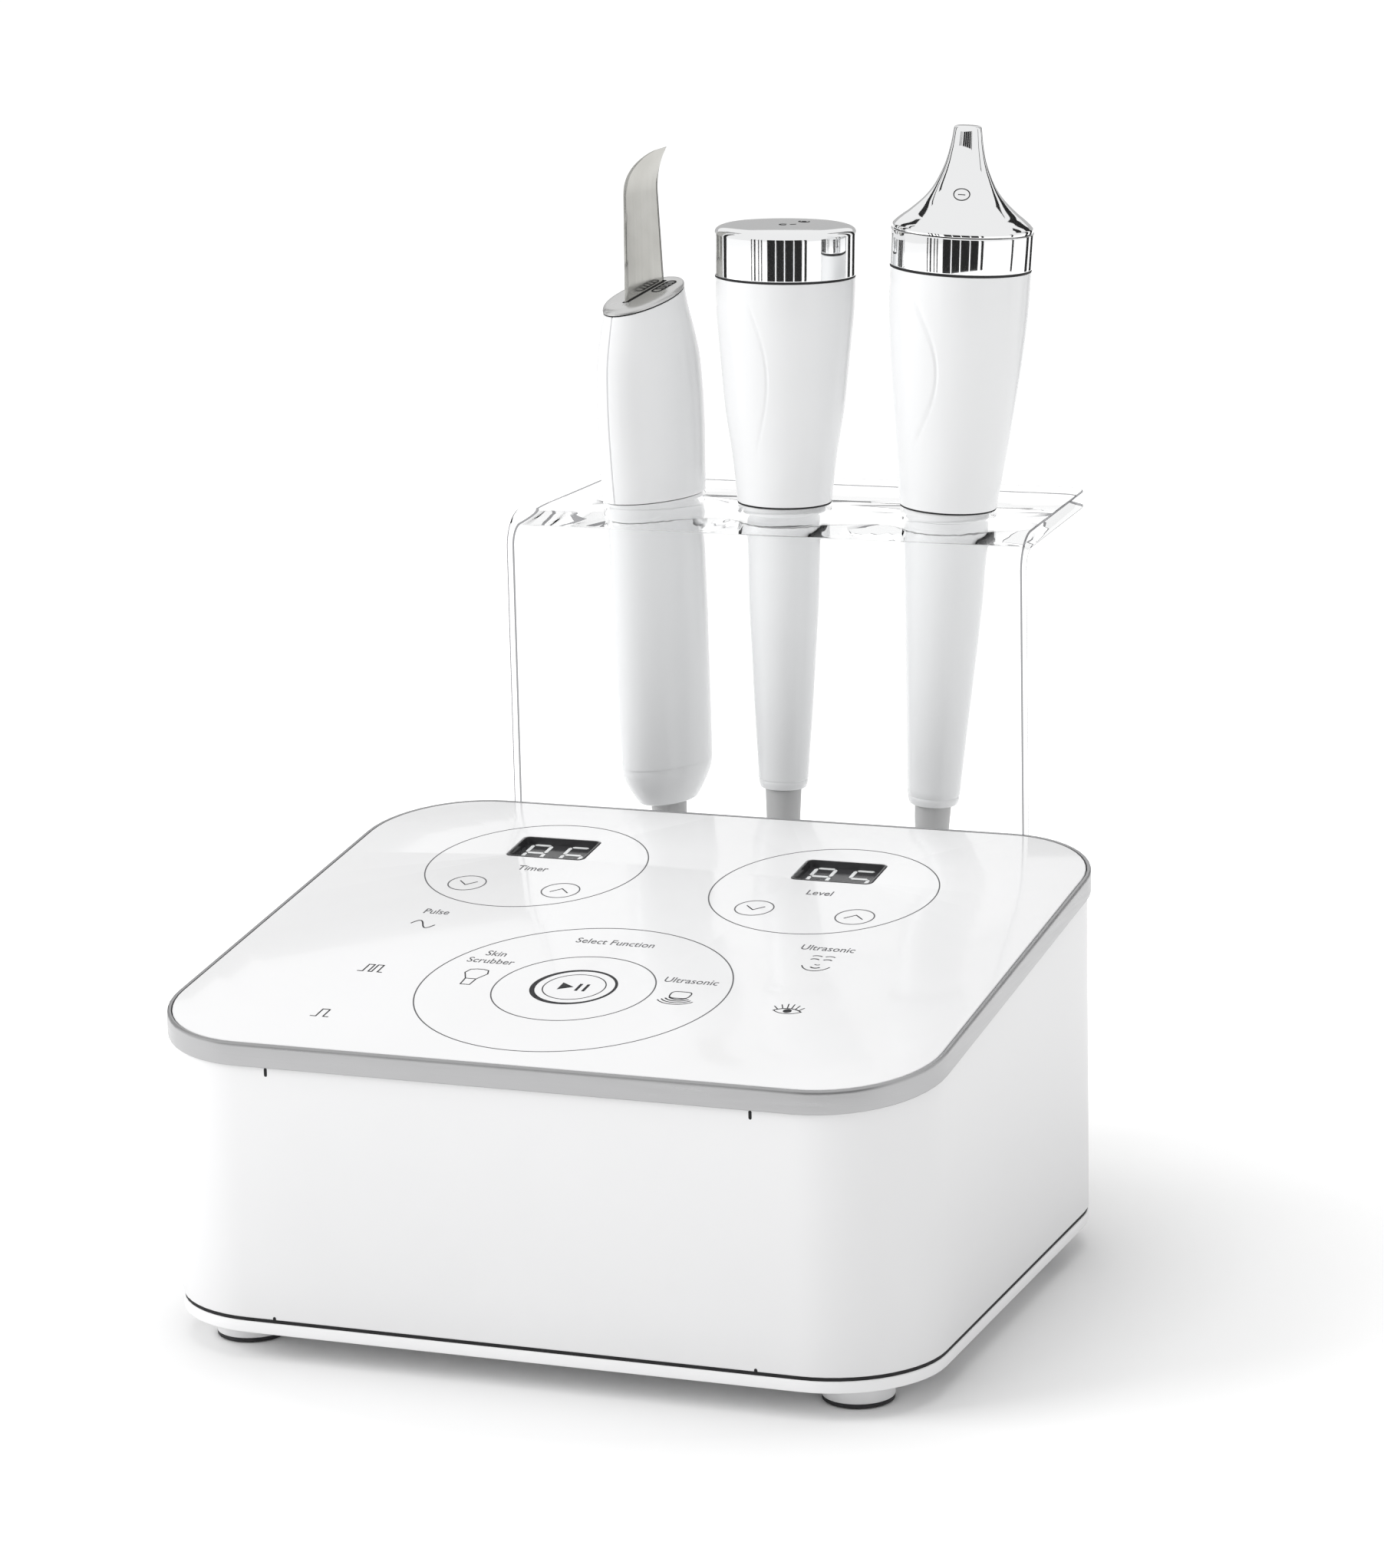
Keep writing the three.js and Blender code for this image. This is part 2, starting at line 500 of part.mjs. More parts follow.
// --- face probe
const face = handpiece(faceProbe);
piece(face, 'face_probe_head', turned([[0, 78.1], [12, 77.8], [18.6, 77.1], [19.9, 75.9], [19.9, 64], [17.7, 64],
  [17.7, 74.5], [0, 74.5]]), chrome);
piece(face, 'face_probe_body', turned([[19.6, 63.7], [19.3, 54], [18.1, 40.4], [16.8, 26.7], [14.8, 13.4],
  [probeSeat + 0.05, 2], [probeSeat, 0], [10.4, 0], [12.4, 13], [14.4, 27], [15.2, 63], [15.2, 69], [17.3, 69], [17.3, 63.7]]), white);
piece(face, 'face_probe_transducer', turned([[0, 74.1], [14.6, 74.1], [14.6, 69.9], [8, 69.9], [8, 57], [0, 57]]), ceramic);
const ringTop = -gap;
const ringLow = ringTop - holder.thickness - collar.proud;
const ringProfile = [[collar.radius, ringTop], [collar.radius - 0.25, ringLow], [8.4, ringLow], [8.4, ringTop]];
piece(face, 'face_probe_collar', turned(ringProfile), white);
piece(face, 'face_probe_tube', turned([[10.5, ringLow - gap], [9.85, -29], [9.1, -43], [8.4, -57], [7.5, -71.5], [7, -80],
  [6.4, -82.2], [5.6, -82.2], [5.6, -76], [6.6, -57], [8, -29], [8.4, ringLow - gap]]), white);
strainRelief(face, 'face_probe_strain_relief', -82.5);

// --- eye probe
const eye = handpiece(eyeProbe);
piece(eye, 'eye_probe_tip', turned([[0, 105.2], [3.3, 105.2], [3.9, 104.4], [4.3, 100.6], [5.7, 95], [7.2, 91.4],
  [9, 88], [11.5, 84.8], [14.9, 81.8], [18.2, 79.2], [19.3, 78.2], [19.3, 77.2], [16.5, 77.2], [12.5, 80], [6, 87], [0, 88]]),
chrome);
piece(eye, 'eye_probe_ring', turned([[19.7, 76.9], [19.7, 66.9], [17.7, 66.9], [17.7, 76.9]]), chrome);
piece(eye, 'eye_probe_body', turned([[19.5, 66.6], [19.2, 54], [18.3, 41], [16.9, 27.3], [15.4, 14.2], [probeSeat + 0.6, 3],
  [probeSeat + 0.2, 0], [10.6, 0], [12.9, 14], [14.5, 28], [15.2, 66], [15.2, 70.9], [17.3, 70.9], [17.3, 66.6]]), white);
piece(eye, 'eye_probe_transducer', turned([[0, 86.4], [5, 85], [9, 79], [12, 76], [14.6, 75], [14.6, 71], [8, 71],
  [8, 58], [0, 58]]), ceramic);
piece(eye, 'eye_probe_collar', turned(ringProfile), white);
piece(eye, 'eye_probe_tube', turned([[11.9, ringLow - gap], [10.9, -27], [10, -41], [9.05, -55], [8.1, -69.5], [7.3, -82.5],
  [6.7, -85], [5.6, -85], [5.6, -79], [7.2, -55], [8.2, -27], [8.4, ringLow - gap]]), white);
strainRelief(eye, 'eye_probe_strain_relief', -85.3);

// ---------------------------------------------------------------- the origin
// Bottom centre of the box: the rim's front face to the shelf's rear edge, floor at height 0.
root.position.y = -(frontY + shelfBackY) / 2;

export default root;
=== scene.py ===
"""Desktop facial unit: a console, a clear holder, and a scrubber, a face probe and an eye probe that lift out of it.

Lengths in the shape functions are millimetres: X across the front, Y from front to back, Z up, with the
origin on the floor under the middle of the model's box. Each finished piece is a mesh in metres.
"""
import math

import bmesh
import bpy
import numpy as np
from mathutils import Matrix, Vector
from mathutils.geometry import delaunay_2d_cdt


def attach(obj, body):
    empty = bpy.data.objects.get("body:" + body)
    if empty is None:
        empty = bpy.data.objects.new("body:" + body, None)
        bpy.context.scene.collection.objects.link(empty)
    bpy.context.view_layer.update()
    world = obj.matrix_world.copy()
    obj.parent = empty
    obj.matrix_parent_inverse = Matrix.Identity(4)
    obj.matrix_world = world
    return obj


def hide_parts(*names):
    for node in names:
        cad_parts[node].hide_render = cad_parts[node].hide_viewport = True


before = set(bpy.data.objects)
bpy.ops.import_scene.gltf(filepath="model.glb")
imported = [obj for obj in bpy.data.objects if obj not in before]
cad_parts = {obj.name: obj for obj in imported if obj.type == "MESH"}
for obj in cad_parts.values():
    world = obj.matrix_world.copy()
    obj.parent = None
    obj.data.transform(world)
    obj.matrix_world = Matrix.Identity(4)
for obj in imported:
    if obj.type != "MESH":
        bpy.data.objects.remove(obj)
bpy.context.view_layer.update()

MM = 0.001
TAU = 2.0 * math.pi

# ------------------------------------------------------------------ sizes of the unit, in millimetres
CONSOLE_Y = -40.2                       # the console's centre, front to back
CONSOLE_HALF_X, CONSOLE_HALF_Y, CORNER = 105.0, 89.0, 30.0
PANEL_Z, SLOPE = 96.0, math.tan(math.radians(7.5))
BODY_INSET, WALL = 1.1, 2.6
SHELF_Z, HOLE_Y = 190.0, 84.8
SHEET, EDGE = 5.0, 0.42                 # the clear sheet's thickness, and the ease of its edges
RIM_DEEP, SEAM_DEEP = 6.0, 6.35         # how far the rim and the shell's top edge lie below the panel


# ------------------------------------------------------------------ shape functions
def as_arrays(*values):
    """The values as number arrays of one common shape."""
    return np.broadcast_arrays(*[np.asarray(v, float) for v in values])


def merged(*surfaces):
    """Several (points, faces) surfaces as one: each one's face numbers are moved up by the points before it."""
    points, faces, start = [], [], 0
    for some_points, some_faces in surfaces:
        points.append(np.asarray(some_points, float))
        faces.extend((np.asarray(f) + start).tolist() for f in some_faces)
        start += len(some_points)
    return np.vstack(points), faces


def grid_faces(rows, columns, wrap_rows=False, wrap_columns=True):
    """Quads of a grid of points numbered row by row; a wrapped direction joins its last line to its first."""
    i = np.arange(rows if wrap_rows else rows - 1)
    j = np.arange(columns if wrap_columns else columns - 1)
    a, b = np.meshgrid(i, j, indexing="ij")
    c, d = (a + 1) % rows, (b + 1) % columns
    return np.stack([a * columns + b, c * columns + b, c * columns + d, a * columns + d], -1).reshape(-1, 4)


def eased(corners, radii, steps=5):
    """A closed outline with rounded corners. Corner C becomes the curve (1-t)^2 A + 2t(1-t) C + t^2 B, where A and B
    lie the corner's radius back along its two edges, but never past 0.48 of an edge."""
    c = np.asarray(corners, float)
    r = np.broadcast_to(np.asarray(radii, float), len(c))
    before, after = np.roll(c, 1, 0) - c, np.roll(c, -1, 0) - c
    long_before, long_after = np.linalg.norm(before, axis=1), np.linalg.norm(after, axis=1)
    a = c + before * (np.minimum(r, 0.48 * long_before) / np.maximum(long_before, 1e-9))[:, None]
    b = c + after * (np.minimum(r, 0.48 * long_after) / np.maximum(long_after, 1e-9))[:, None]
    t = np.linspace(0, 1, steps)[None, :, None]
    curve = (1 - t) ** 2 * a[:, None] + 2 * t * (1 - t) * c[:, None] + t ** 2 * b[:, None]
    return curve.reshape(-1, c.shape[1])


def flowing(points, steps=6):
    """A smooth line through points, by the Catmull-Rom cubic: on each span the slopes at its ends are half the
    difference of the neighbours on either side."""
    p = np.asarray(points, float)
    q = np.vstack([2 * p[0] - p[1], p, 2 * p[-1] - p[-2]])
    t = np.linspace(0, 1, steps, endpoint=False)[None, :, None]
    a, b, c, d = (q[k:len(q) - 3 + k][:, None] for k in range(4))
    curve = 0.5 * (2 * b + (c - a) * t + (2 * a - 5 * b + 4 * c - d) * t ** 2 + (3 * b - a - 3 * c + d) * t ** 3)
    return np.vstack([curve.reshape(-1, p.shape[1]), p[-1:]])


def turned(profile, sides=96, oval=1.0, angles=None, dent=None):
    """A turned piece: the closed profile of (r, z) goes round Z, so that a point is (r cos a, oval r sin a, z).
    dent(a, z) is taken off r. A profile that meets the axis closes there in a pole."""
    r, z = np.asarray(profile, float).T
    a = np.linspace(0, TAU, sides, endpoint=False) if angles is None else angles
    radius = np.repeat(r[:, None], len(a), 1)
    if dent is not None:
        radius = np.maximum(radius - np.where(radius > 0.01, dent(a[None, :], z[:, None]), 0), 0)
    points = np.stack([radius * np.cos(a), oval * radius * np.sin(a), np.repeat(z[:, None], len(a), 1)], -1)
    return points.reshape(-1, 3), grid_faces(len(r), len(a), True, True)


def stacked(loops):
    """A solid from closed loops of equal length, laid one after another; the first and the last are closed by a fan
    to their middle."""
    loops = np.asarray(loops, float)
    rows, columns = loops.shape[:2]
    low, high = rows * columns, rows * columns + 1
    j = np.arange(columns)
    k = (j + 1) % columns
    fans = np.vstack([np.stack([np.full(columns, low), k, j], -1),
                      np.stack([np.full(columns, high), (rows - 1) * columns + j, (rows - 1) * columns + k], -1)])
    points = np.vstack([loops.reshape(-1, 3), loops[0].mean(0)[None], loops[-1].mean(0)[None]])
    return points, grid_faces(rows, columns).tolist() + fans.tolist()


def ringed(loops):
    """A ring from closed loops of equal length, the last joined back to the first."""
    loops = np.asarray(loops, float)
    return loops.reshape(-1, 3), grid_faces(loops.shape[0], loops.shape[1], True, True)


def rounded_loop(half_x, half_y, corner, arc=14, stops=(), spread=6):
    """Points round a rectangle with quarter-circle corners, anticlockwise from the right side's lower end. stops are
    X places that the back side must have a point at."""
    r = min(corner, half_x - 1e-6, half_y - 1e-6)
    q = np.linspace(0, math.pi / 2, arc)
    turn = [np.stack([sx * (half_x - r) + r * np.cos(q + s), sy * (half_y - r) + r * np.sin(q + s)], -1)
            for sx, sy, s in ((1, 1, 0), (-1, 1, math.pi / 2), (-1, -1, math.pi), (1, -1, 1.5 * math.pi))]
    even = np.linspace(-1, 1, spread + 2)[1:-1]
    across, along = (half_x - r) * even, (half_y - r) * even
    back = np.sort(np.concatenate([across, np.asarray(stops, float)]))[::-1] if len(stops) else across[::-1]
    right = np.stack([np.full(spread, half_x), along], -1)
    top = np.stack([back, np.full(len(back), half_y)], -1)
    left = np.stack([np.full(spread, -half_x), along[::-1]], -1)
    front = np.stack([across, np.full(spread, -half_y)], -1)
    return np.vstack([right, turn[0], top, turn[1], left, turn[2], front, turn[3]])


def console_loop(inset, height, stops=()):
    """The console's outline, drawn in by inset. height is a number, or a function of Y in the console's own frame."""
    flat = rounded_loop(CONSOLE_HALF_X - inset, CONSOLE_HALF_Y - inset, CORNER - inset, stops=stops)
    z = height(flat[:, 1]) if callable(height) else np.full(len(flat), float(height))
    return np.column_stack([flat[:, 0], flat[:, 1] + CONSOLE_Y, z])


def below_panel(drop):
    """Height of the inclined plane that lies drop below the panel's face, as a function of Y."""
    return lambda y: PANEL_Z + SLOPE * y - drop


def on_panel(x, y, rise=0.0):
    """Points over the panel: plan place (x, y) in the console's own frame, lifted off the face along its normal."""
    x, y, rise = as_arrays(x, y, rise)
    length = math.hypot(1.0, SLOPE)
    return np.stack([x, y + CONSOLE_Y - rise * SLOPE / length, PANEL_Z + SLOPE * y + rise / length], -1)


def walled_grid(outer, inner, keep):
    """A wall between two grids of points that wrap round, with openings where keep is false: the outer quads, the
    inner quads, and a quad across the wall along every edge between a kept cell and a missing one."""
    rows, columns = outer.shape[:2]
    number = np.arange(rows * columns).reshape(rows, columns)
    shift = rows * columns
    right = np.roll(number, -1, 1)
    cell = np.stack([number[:-1], number[1:], right[1:], right[:-1]], -1)
    faces = [cell[keep], cell[keep][:, ::-1] + shift]
    upright = keep != np.roll(keep, 1, 1)
    faces.append(np.stack([number[:-1][upright], number[1:][upright], number[1:][upright] + shift,
                           number[:-1][upright] + shift], -1))
    padded = np.vstack([np.zeros((1, columns), bool), keep, np.zeros((1, columns), bool)])
    level = padded[1:] != padded[:-1]
    faces.append(np.stack([number[level], right[level], right[level] + shift, number[level] + shift], -1))
    return np.vstack([outer.reshape(-1, 3), inner.reshape(-1, 3)]), np.vstack(faces)


def inside(points, loops):
    """True where a point is inside an odd number of closed loops, by counting the edges that a ray to +X crosses."""
    crossed = np.zeros(len(points), int)
    x, y = points[:, 0][:, None], points[:, 1][:, None]
    for loop in loops:
        (x0, y0), (x1, y1) = loop.T, np.roll(loop, -1, 0).T
        spans = (y0[None] > y) != (y1[None] > y)
        at = x0[None] + (y - y0[None]) * (x1 - x0)[None] / np.where(y1 == y0, 1e-12, y1 - y0)[None]
        crossed += (spans & (x < at)).sum(1)
    return crossed % 2 == 1


def outward(loop):
    """Unit normals of a closed plan loop, to its right: out of the material for an anticlockwise outline and for a
    clockwise hole."""
    along = np.roll(loop, -1, 0) - np.roll(loop, 1, 0)
    along /= np.linalg.norm(along, axis=1)[:, None]
    return np.stack([along[:, 1], -along[:, 0]], -1)


def eased_plate(outline, holes, thickness, ease, place, fill=(), steps=4):
    """A plate with holes, drawn flat and laid in space by place(u, v, depth). Round each loop its edge is a quarter
    circle of radius ease above and below: inset ease(1 - sin q), depth ease(1 - cos q). The two faces are flat
    triangles between the inset loops, with more corners at the points of fill."""
    loops = [np.asarray(outline, float)] + [np.asarray(h, float) for h in holes]
    q = np.linspace(0, math.pi / 2, steps)
    inset = np.concatenate([ease * (1 - np.sin(q)), ease * (1 - np.sin(q[::-1]))])
    depth = np.concatenate([ease * (1 - np.cos(q)), thickness - ease * (1 - np.cos(q[::-1]))])
    surfaces = []
    for loop in loops:
        rows = loop[None] - outward(loop)[None] * inset[:, None, None]
        laid = place(rows[..., 0], rows[..., 1], np.repeat(depth[:, None], len(loop), 1))
        surfaces.append((laid.reshape(-1, 3), grid_faces(len(inset), len(loop))))
    edge = [loop - outward(loop) * ease for loop in loops]
    flat = np.vstack(edge + ([fill] if len(fill) else []))
    start = np.cumsum([0] + [len(e) for e in edge])
    rims = [(start[k] + i, start[k] + (i + 1) % len(e)) for k, e in enumerate(edge) for i in range(len(e))]
    corners, _, triangles = delaunay_2d_cdt([tuple(p) for p in flat], rims, [], 0, 1e-7)[:3]
    corners, triangles = np.array([tuple(p) for p in corners]), np.array(triangles)
    triangles = triangles[inside(corners[triangles].mean(1), edge)]
    for level in (0.0, thickness):
        surfaces.append((place(corners[:, 0], corners[:, 1], np.full(len(corners), level)), triangles))
    return merged(*surfaces)


def eased_faces(around, total, steps=4):
    """For each face of an eased plate, 1 on the quarter-circle edges of its outline and 0 elsewhere. around is the
    number of points in the outline."""
    flags = np.repeat(np.arange(2 * steps - 1) != steps - 1, around)
    return np.concatenate([flags, np.zeros(total - len(flags), bool)]).astype(int)


def stroke(path, width, place, low=-0.02, high=0.035, closed=False):
    """A printed line of one width along plan points: its four edges lie half a width to either side, at two heights,
    with the side direction taken across the line at each point."""
    p = np.asarray(path, float)
    if closed:
        along = np.roll(p, -1, 0) - np.roll(p, 1, 0)
    else:
        along = np.gradient(p, axis=0)
    along /= np.maximum(np.linalg.norm(along, axis=1), 1e-9)[:, None]
    side = np.stack([-along[:, 1], along[:, 0]], -1)
    half = np.broadcast_to(np.asarray(width, float) / 2, len(p))[:, None]
    a, b = p + side * half, p - side * half
    section = np.stack([place(a[:, 0], a[:, 1], low), place(b[:, 0], b[:, 1], low),
                        place(b[:, 0], b[:, 1], high), place(a[:, 0], a[:, 1], high)], 1)
    if closed:
        return section.reshape(-1, 3), grid_faces(len(p), 4, True, True)
    return stacked(section)


def bars(path, width, place, **more):
    """A line with sharp corners: one straight stroke for each span, a little longer than the span at both ends."""
    p = np.asarray(path, float)
    a, b = p[:-1], p[1:]
    step = (b - a) / np.linalg.norm(b - a, axis=1)[:, None] * width * 0.3
    return merged(*[stroke([s, e], width, place, **more) for s, e in zip(a - step, b + step)])


def patch(outline, place, low=-0.02, high=0.035):
    """A filled printed shape: its outline at two heights, closed by fans."""
    p = np.asarray(outline, float)
    return stacked([place(p[:, 0], p[:, 1], low), place(p[:, 0], p[:, 1], high)])


def arc(x, y, radius, start=0.0, end=360.0, points=64, flat=1.0):
    """Points on a circle, or on part of one, between two angles in degrees; flat squashes it front to back."""
    whole = abs(end - start) >= 360
    a = np.radians(np.linspace(start, end, points, endpoint=not whole))
    return np.stack([x + radius * np.cos(a), y + flat * radius * np.sin(a)], -1)


def lettering(text, size, stretch):
    """Generic words as a thin solid, centred on (0, 0), in plan millimetres with two levels 0 and 1."""
    curve = bpy.data.curves.new("lettering", "FONT")
    curve.body, curve.size, curve.extrude, curve.offset = text, size, 0.5, 0.015
    curve.align_x, curve.align_y, curve.resolution_u = "CENTER", "CENTER", 3
    holder = bpy.data.objects.new("lettering", curve)
    bpy.context.scene.collection.objects.link(holder)
    shape = bpy.data.meshes.new_from_object(holder.evaluated_get(bpy.context.evaluated_depsgraph_get()))
    points = np.empty(len(shape.vertices) * 3)
    shape.vertices.foreach_get("co", points)
    points = points.reshape(-1, 3) * (stretch, 1, 1)
    faces = [tuple(f.vertices) for f in shape.polygons]
    bpy.data.objects.remove(holder)
    bpy.data.curves.remove(curve)
    bpy.data.meshes.remove(shape)
    return points, faces


def placed(surface, x=0.0, y=0.0, z=0.0, turn=0.0, lean=0.0, lift=0.0):
    """A surface turned about Z, lifted, leaned about Y so that its top goes to +X, and moved to (x, y, z)."""
    points, faces = surface
    c, s = math.cos(math.radians(turn)), math.sin(math.radians(turn))
    about_z = np.array([[c, -s, 0], [s, c, 0], [0, 0, 1]])
    c, s = math.cos(math.radians(lean)), math.sin(math.radians(lean))
    about_y = np.array([[c, 0, s], [0, 1, 0], [-s, 0, c]])
    return (points @ about_z.T + (0, 0, lift)) @ about_y.T + (x, y, z), faces


def rearward(surface, x, y, z):
    """A turned or stacked surface laid down so that its own +Z points to the back, its own +Y up, and moved."""
    points, faces = surface
    return np.stack([-points[:, 0] + x, points[:, 2] + y, points[:, 1] + z], -1), faces


# ------------------------------------------------------------------ finishes
def finish_base(name, colour, roughness, metallic=0.0, **sockets):
    """A Principled material with constants on the shader's own sockets. Returns it with its tree and shader."""
    material = bpy.data.materials.new(name)
    material.use_nodes = True
    tree = material.node_tree
    shader = tree.nodes["Principled BSDF"]
    shader.inputs["Base Color"].default_value = (*colour, 1)
    shader.inputs["Roughness"].default_value = roughness
    shader.inputs["Metallic"].default_value = metallic
    for socket, value in sockets.items():
        shader.inputs[socket.replace("_", " ")].default_value = value
    return material, tree, shader


def pattern(tree, kind, scale, stretch=(1, 1, 1), **settings):
    """A texture node fed by the piece's own Object coordinates through a Mapping node. Returns the texture."""
    place = tree.nodes.new("ShaderNodeTexCoord")
    mapping = tree.nodes.new("ShaderNodeMapping")
    mapping.inputs["Scale"].default_value = stretch
    texture = tree.nodes.new(kind)
    texture.inputs["Scale"].default_value = scale
    for name, value in settings.items():
        texture.inputs[name.replace("_", " ")].default_value = value
    tree.links.new(place.outputs["Object"], mapping.inputs["Vector"])
    tree.links.new(mapping.outputs["Vector"], texture.inputs["Vector"])
    return texture


def spread(tree, source, low, high, centre=0.5, reach=0.25):
    """A number between low and high that follows a texture's value from centre - reach to centre + reach."""
    node = tree.nodes.new("ShaderNodeMapRange")
    node.inputs["From Min"].default_value = centre - reach
    node.inputs["From Max"].default_value = centre + reach
    node.inputs["To Min"].default_value = low
    node.inputs["To Max"].default_value = high
    tree.links.new(source, node.inputs["Value"])
    return node.outputs["Result"]


def tinted(tree, source, dark, light, centre=0.5, reach=0.25):
    """A colour between dark and light that follows a texture's value."""
    ramp = tree.nodes.new("ShaderNodeValToRGB")
    ramp.color_ramp.elements[0].position, ramp.color_ramp.elements[1].position = centre - reach, centre + reach
    ramp.color_ramp.elements[0].color, ramp.color_ramp.elements[1].color = (*dark, 1), (*light, 1)
    tree.links.new(source, ramp.inputs["Fac"])
    return ramp.outputs["Color"]


def bumped(tree, shader, source, strength, distance):
    """Gives the shader the relief of a texture's value."""
    bump = tree.nodes.new("ShaderNodeBump")
    bump.inputs["Strength"].default_value = strength
    bump.inputs["Distance"].default_value = distance
    tree.links.new(source, bump.inputs["Height"])
    tree.links.new(bump.outputs["Normal"], shader.inputs["Normal"])


def moulded_plastic(name, colour, roughness, grain=1500.0, relief=0.06, shade=0.012, **sockets):
    """Moulded plastic: a fine eroded grain in the relief, slow changes of gloss, and a faint change of shade."""
    material, tree, shader = finish_base(name, colour, roughness, **sockets)
    fine = pattern(tree, "ShaderNodeTexNoise", grain, Detail=2.0)
    slow = pattern(tree, "ShaderNodeTexNoise", 26.0, Detail=3.0)
    bumped(tree, shader, fine.outputs["Fac"], relief, 0.00006)
    tree.links.new(spread(tree, slow.outputs["Fac"], roughness * 0.9, roughness * 1.12), shader.inputs["Roughness"])
    light = tuple(min(c * (1 + shade), 1) for c in colour)
    dark = tuple(c * (1 - shade) for c in colour)
    tree.links.new(tinted(tree, slow.outputs["Fac"], dark, light), shader.inputs["Base Color"])
    return material


def satin_silver(name, colour, roughness):
    """Satin silver plating: very fine level streaks in gloss and shade."""
    material, tree, shader = finish_base(name, colour, roughness, 0.85)
    streaks = pattern(tree, "ShaderNodeTexNoise", 260.0, stretch=(0.25, 0.25, 9.0), Detail=3.0)
    tree.links.new(spread(tree, streaks.outputs["Fac"], roughness * 0.82, roughness * 1.2), shader.inputs["Roughness"])
    shade = tinted(tree, streaks.outputs["Fac"], tuple(c * 0.95 for c in colour), colour)
    tree.links.new(shade, shader.inputs["Base Color"])
    bumped(tree, shader, streaks.outputs["Fac"], 0.05, 0.00004)
    return material


def mirror_plating(name):
    """Polished chrome plating: a mirror with a faint handling haze that comes and goes."""
    material, tree, shader = finish_base(name, (0.93, 0.935, 0.94), 0.045, 1.0)
    haze = pattern(tree, "ShaderNodeTexNoise", 55.0, Detail=4.0)
    tree.links.new(spread(tree, haze.outputs["Fac"], 0.03, 0.075), shader.inputs["Roughness"])
    ripple = pattern(tree, "ShaderNodeTexNoise", 90.0, Detail=1.0)
    bumped(tree, shader, ripple.outputs["Fac"], 0.02, 0.0001)
    return material


def spring_steel(name):
    """Ground stainless strip: a warm grey mirror with fine lengthways grinding lines."""
    material, tree, shader = finish_base(name, (0.40, 0.395, 0.375), 0.16, 1.0)
    lines = pattern(tree, "ShaderNodeTexNoise", 900.0, stretch=(1, 1, 0.02), Detail=2.0)
    slow = pattern(tree, "ShaderNodeTexNoise", 60.0, Detail=2.0)
    tree.links.new(spread(tree, lines.outputs["Fac"], 0.10, 0.22), shader.inputs["Roughness"])
    shade = tinted(tree, slow.outputs["Fac"], (0.42, 0.415, 0.39), (0.54, 0.535, 0.51))
    tree.links.new(shade, shader.inputs["Base Color"])
    bumped(tree, shader, lines.outputs["Fac"], 0.06, 0.00003)
    return material


def machine_steel(name):
    """Zinc-plated screw steel with a mottled gloss."""
    material, tree, shader = finish_base(name, (0.60, 0.60, 0.61), 0.3, 1.0)
    mottle = pattern(tree, "ShaderNodeTexNoise", 700.0, Detail=3.0)
    tree.links.new(spread(tree, mottle.outputs["Fac"], 0.22, 0.42), shader.inputs["Roughness"])
    bumped(tree, shader, mottle.outputs["Fac"], 0.08, 0.00004)
    return material


def clear_sheet(name, colour, bending):
    """Cast clear sheet: fully clear and bending light only slightly, with the faintest wipe marks in its gloss."""
    material, tree, shader = finish_base(name, colour, 0.0, IOR=bending, Transmission_Weight=1.0)
    wipe = pattern(tree, "ShaderNodeTexNoise", 18.0, stretch=(1, 1, 4), Detail=5.0)
    tree.links.new(spread(tree, wipe.outputs["Fac"], 0.0, 0.02, 0.55, 0.2), shader.inputs["Roughness"])
    return material


def soft_rubber(name, colour, roughness=0.6):
    """Moulded rubber: a dull skin with a fine grain and a slow change of shade."""
    material, tree, shader = finish_base(name, colour, roughness)
    fine = pattern(tree, "ShaderNodeTexNoise", 2200.0, Detail=2.0)
    slow = pattern(tree, "ShaderNodeTexNoise", 90.0, Detail=2.0)
    bumped(tree, shader, fine.outputs["Fac"], 0.15, 0.00008)
    shade = tinted(tree, slow.outputs["Fac"], tuple(c * 0.93 for c in colour), colour)
    tree.links.new(shade, shader.inputs["Base Color"])
    return material


def printed_ink(name, colour):
    """Screen-printed ink: an even colour with slightly uneven cover."""
    material, tree, shader = finish_base(name, colour, 0.5, Specular_IOR_Level=0.12)
    cover = pattern(tree, "ShaderNodeTexNoise", 1200.0, Detail=2.0)
    shade = tinted(tree, cover.outputs["Fac"], colour, tuple(min(c * 1.2 + 0.01, 1) for c in colour))
    tree.links.new(shade, shader.inputs["Base Color"])
    return material


def lit_segment(name):
    """A numeral's segment: pale and slightly glowing, its shade changing a little at random."""
    material, tree, shader = finish_base(name, (0.74, 0.75, 0.75), 0.35, Emission_Strength=0.08)
    shader.inputs["Emission Color"].default_value = (0.95, 0.97, 0.97, 1)
    glow = pattern(tree, "ShaderNodeTexNoise", 500.0, Detail=1.0)
    shade = tinted(tree, glow.outputs["Fac"], (0.66, 0.67, 0.67), (0.78, 0.79, 0.79))
    tree.links.new(shade, shader.inputs["Base Color"])
    return material


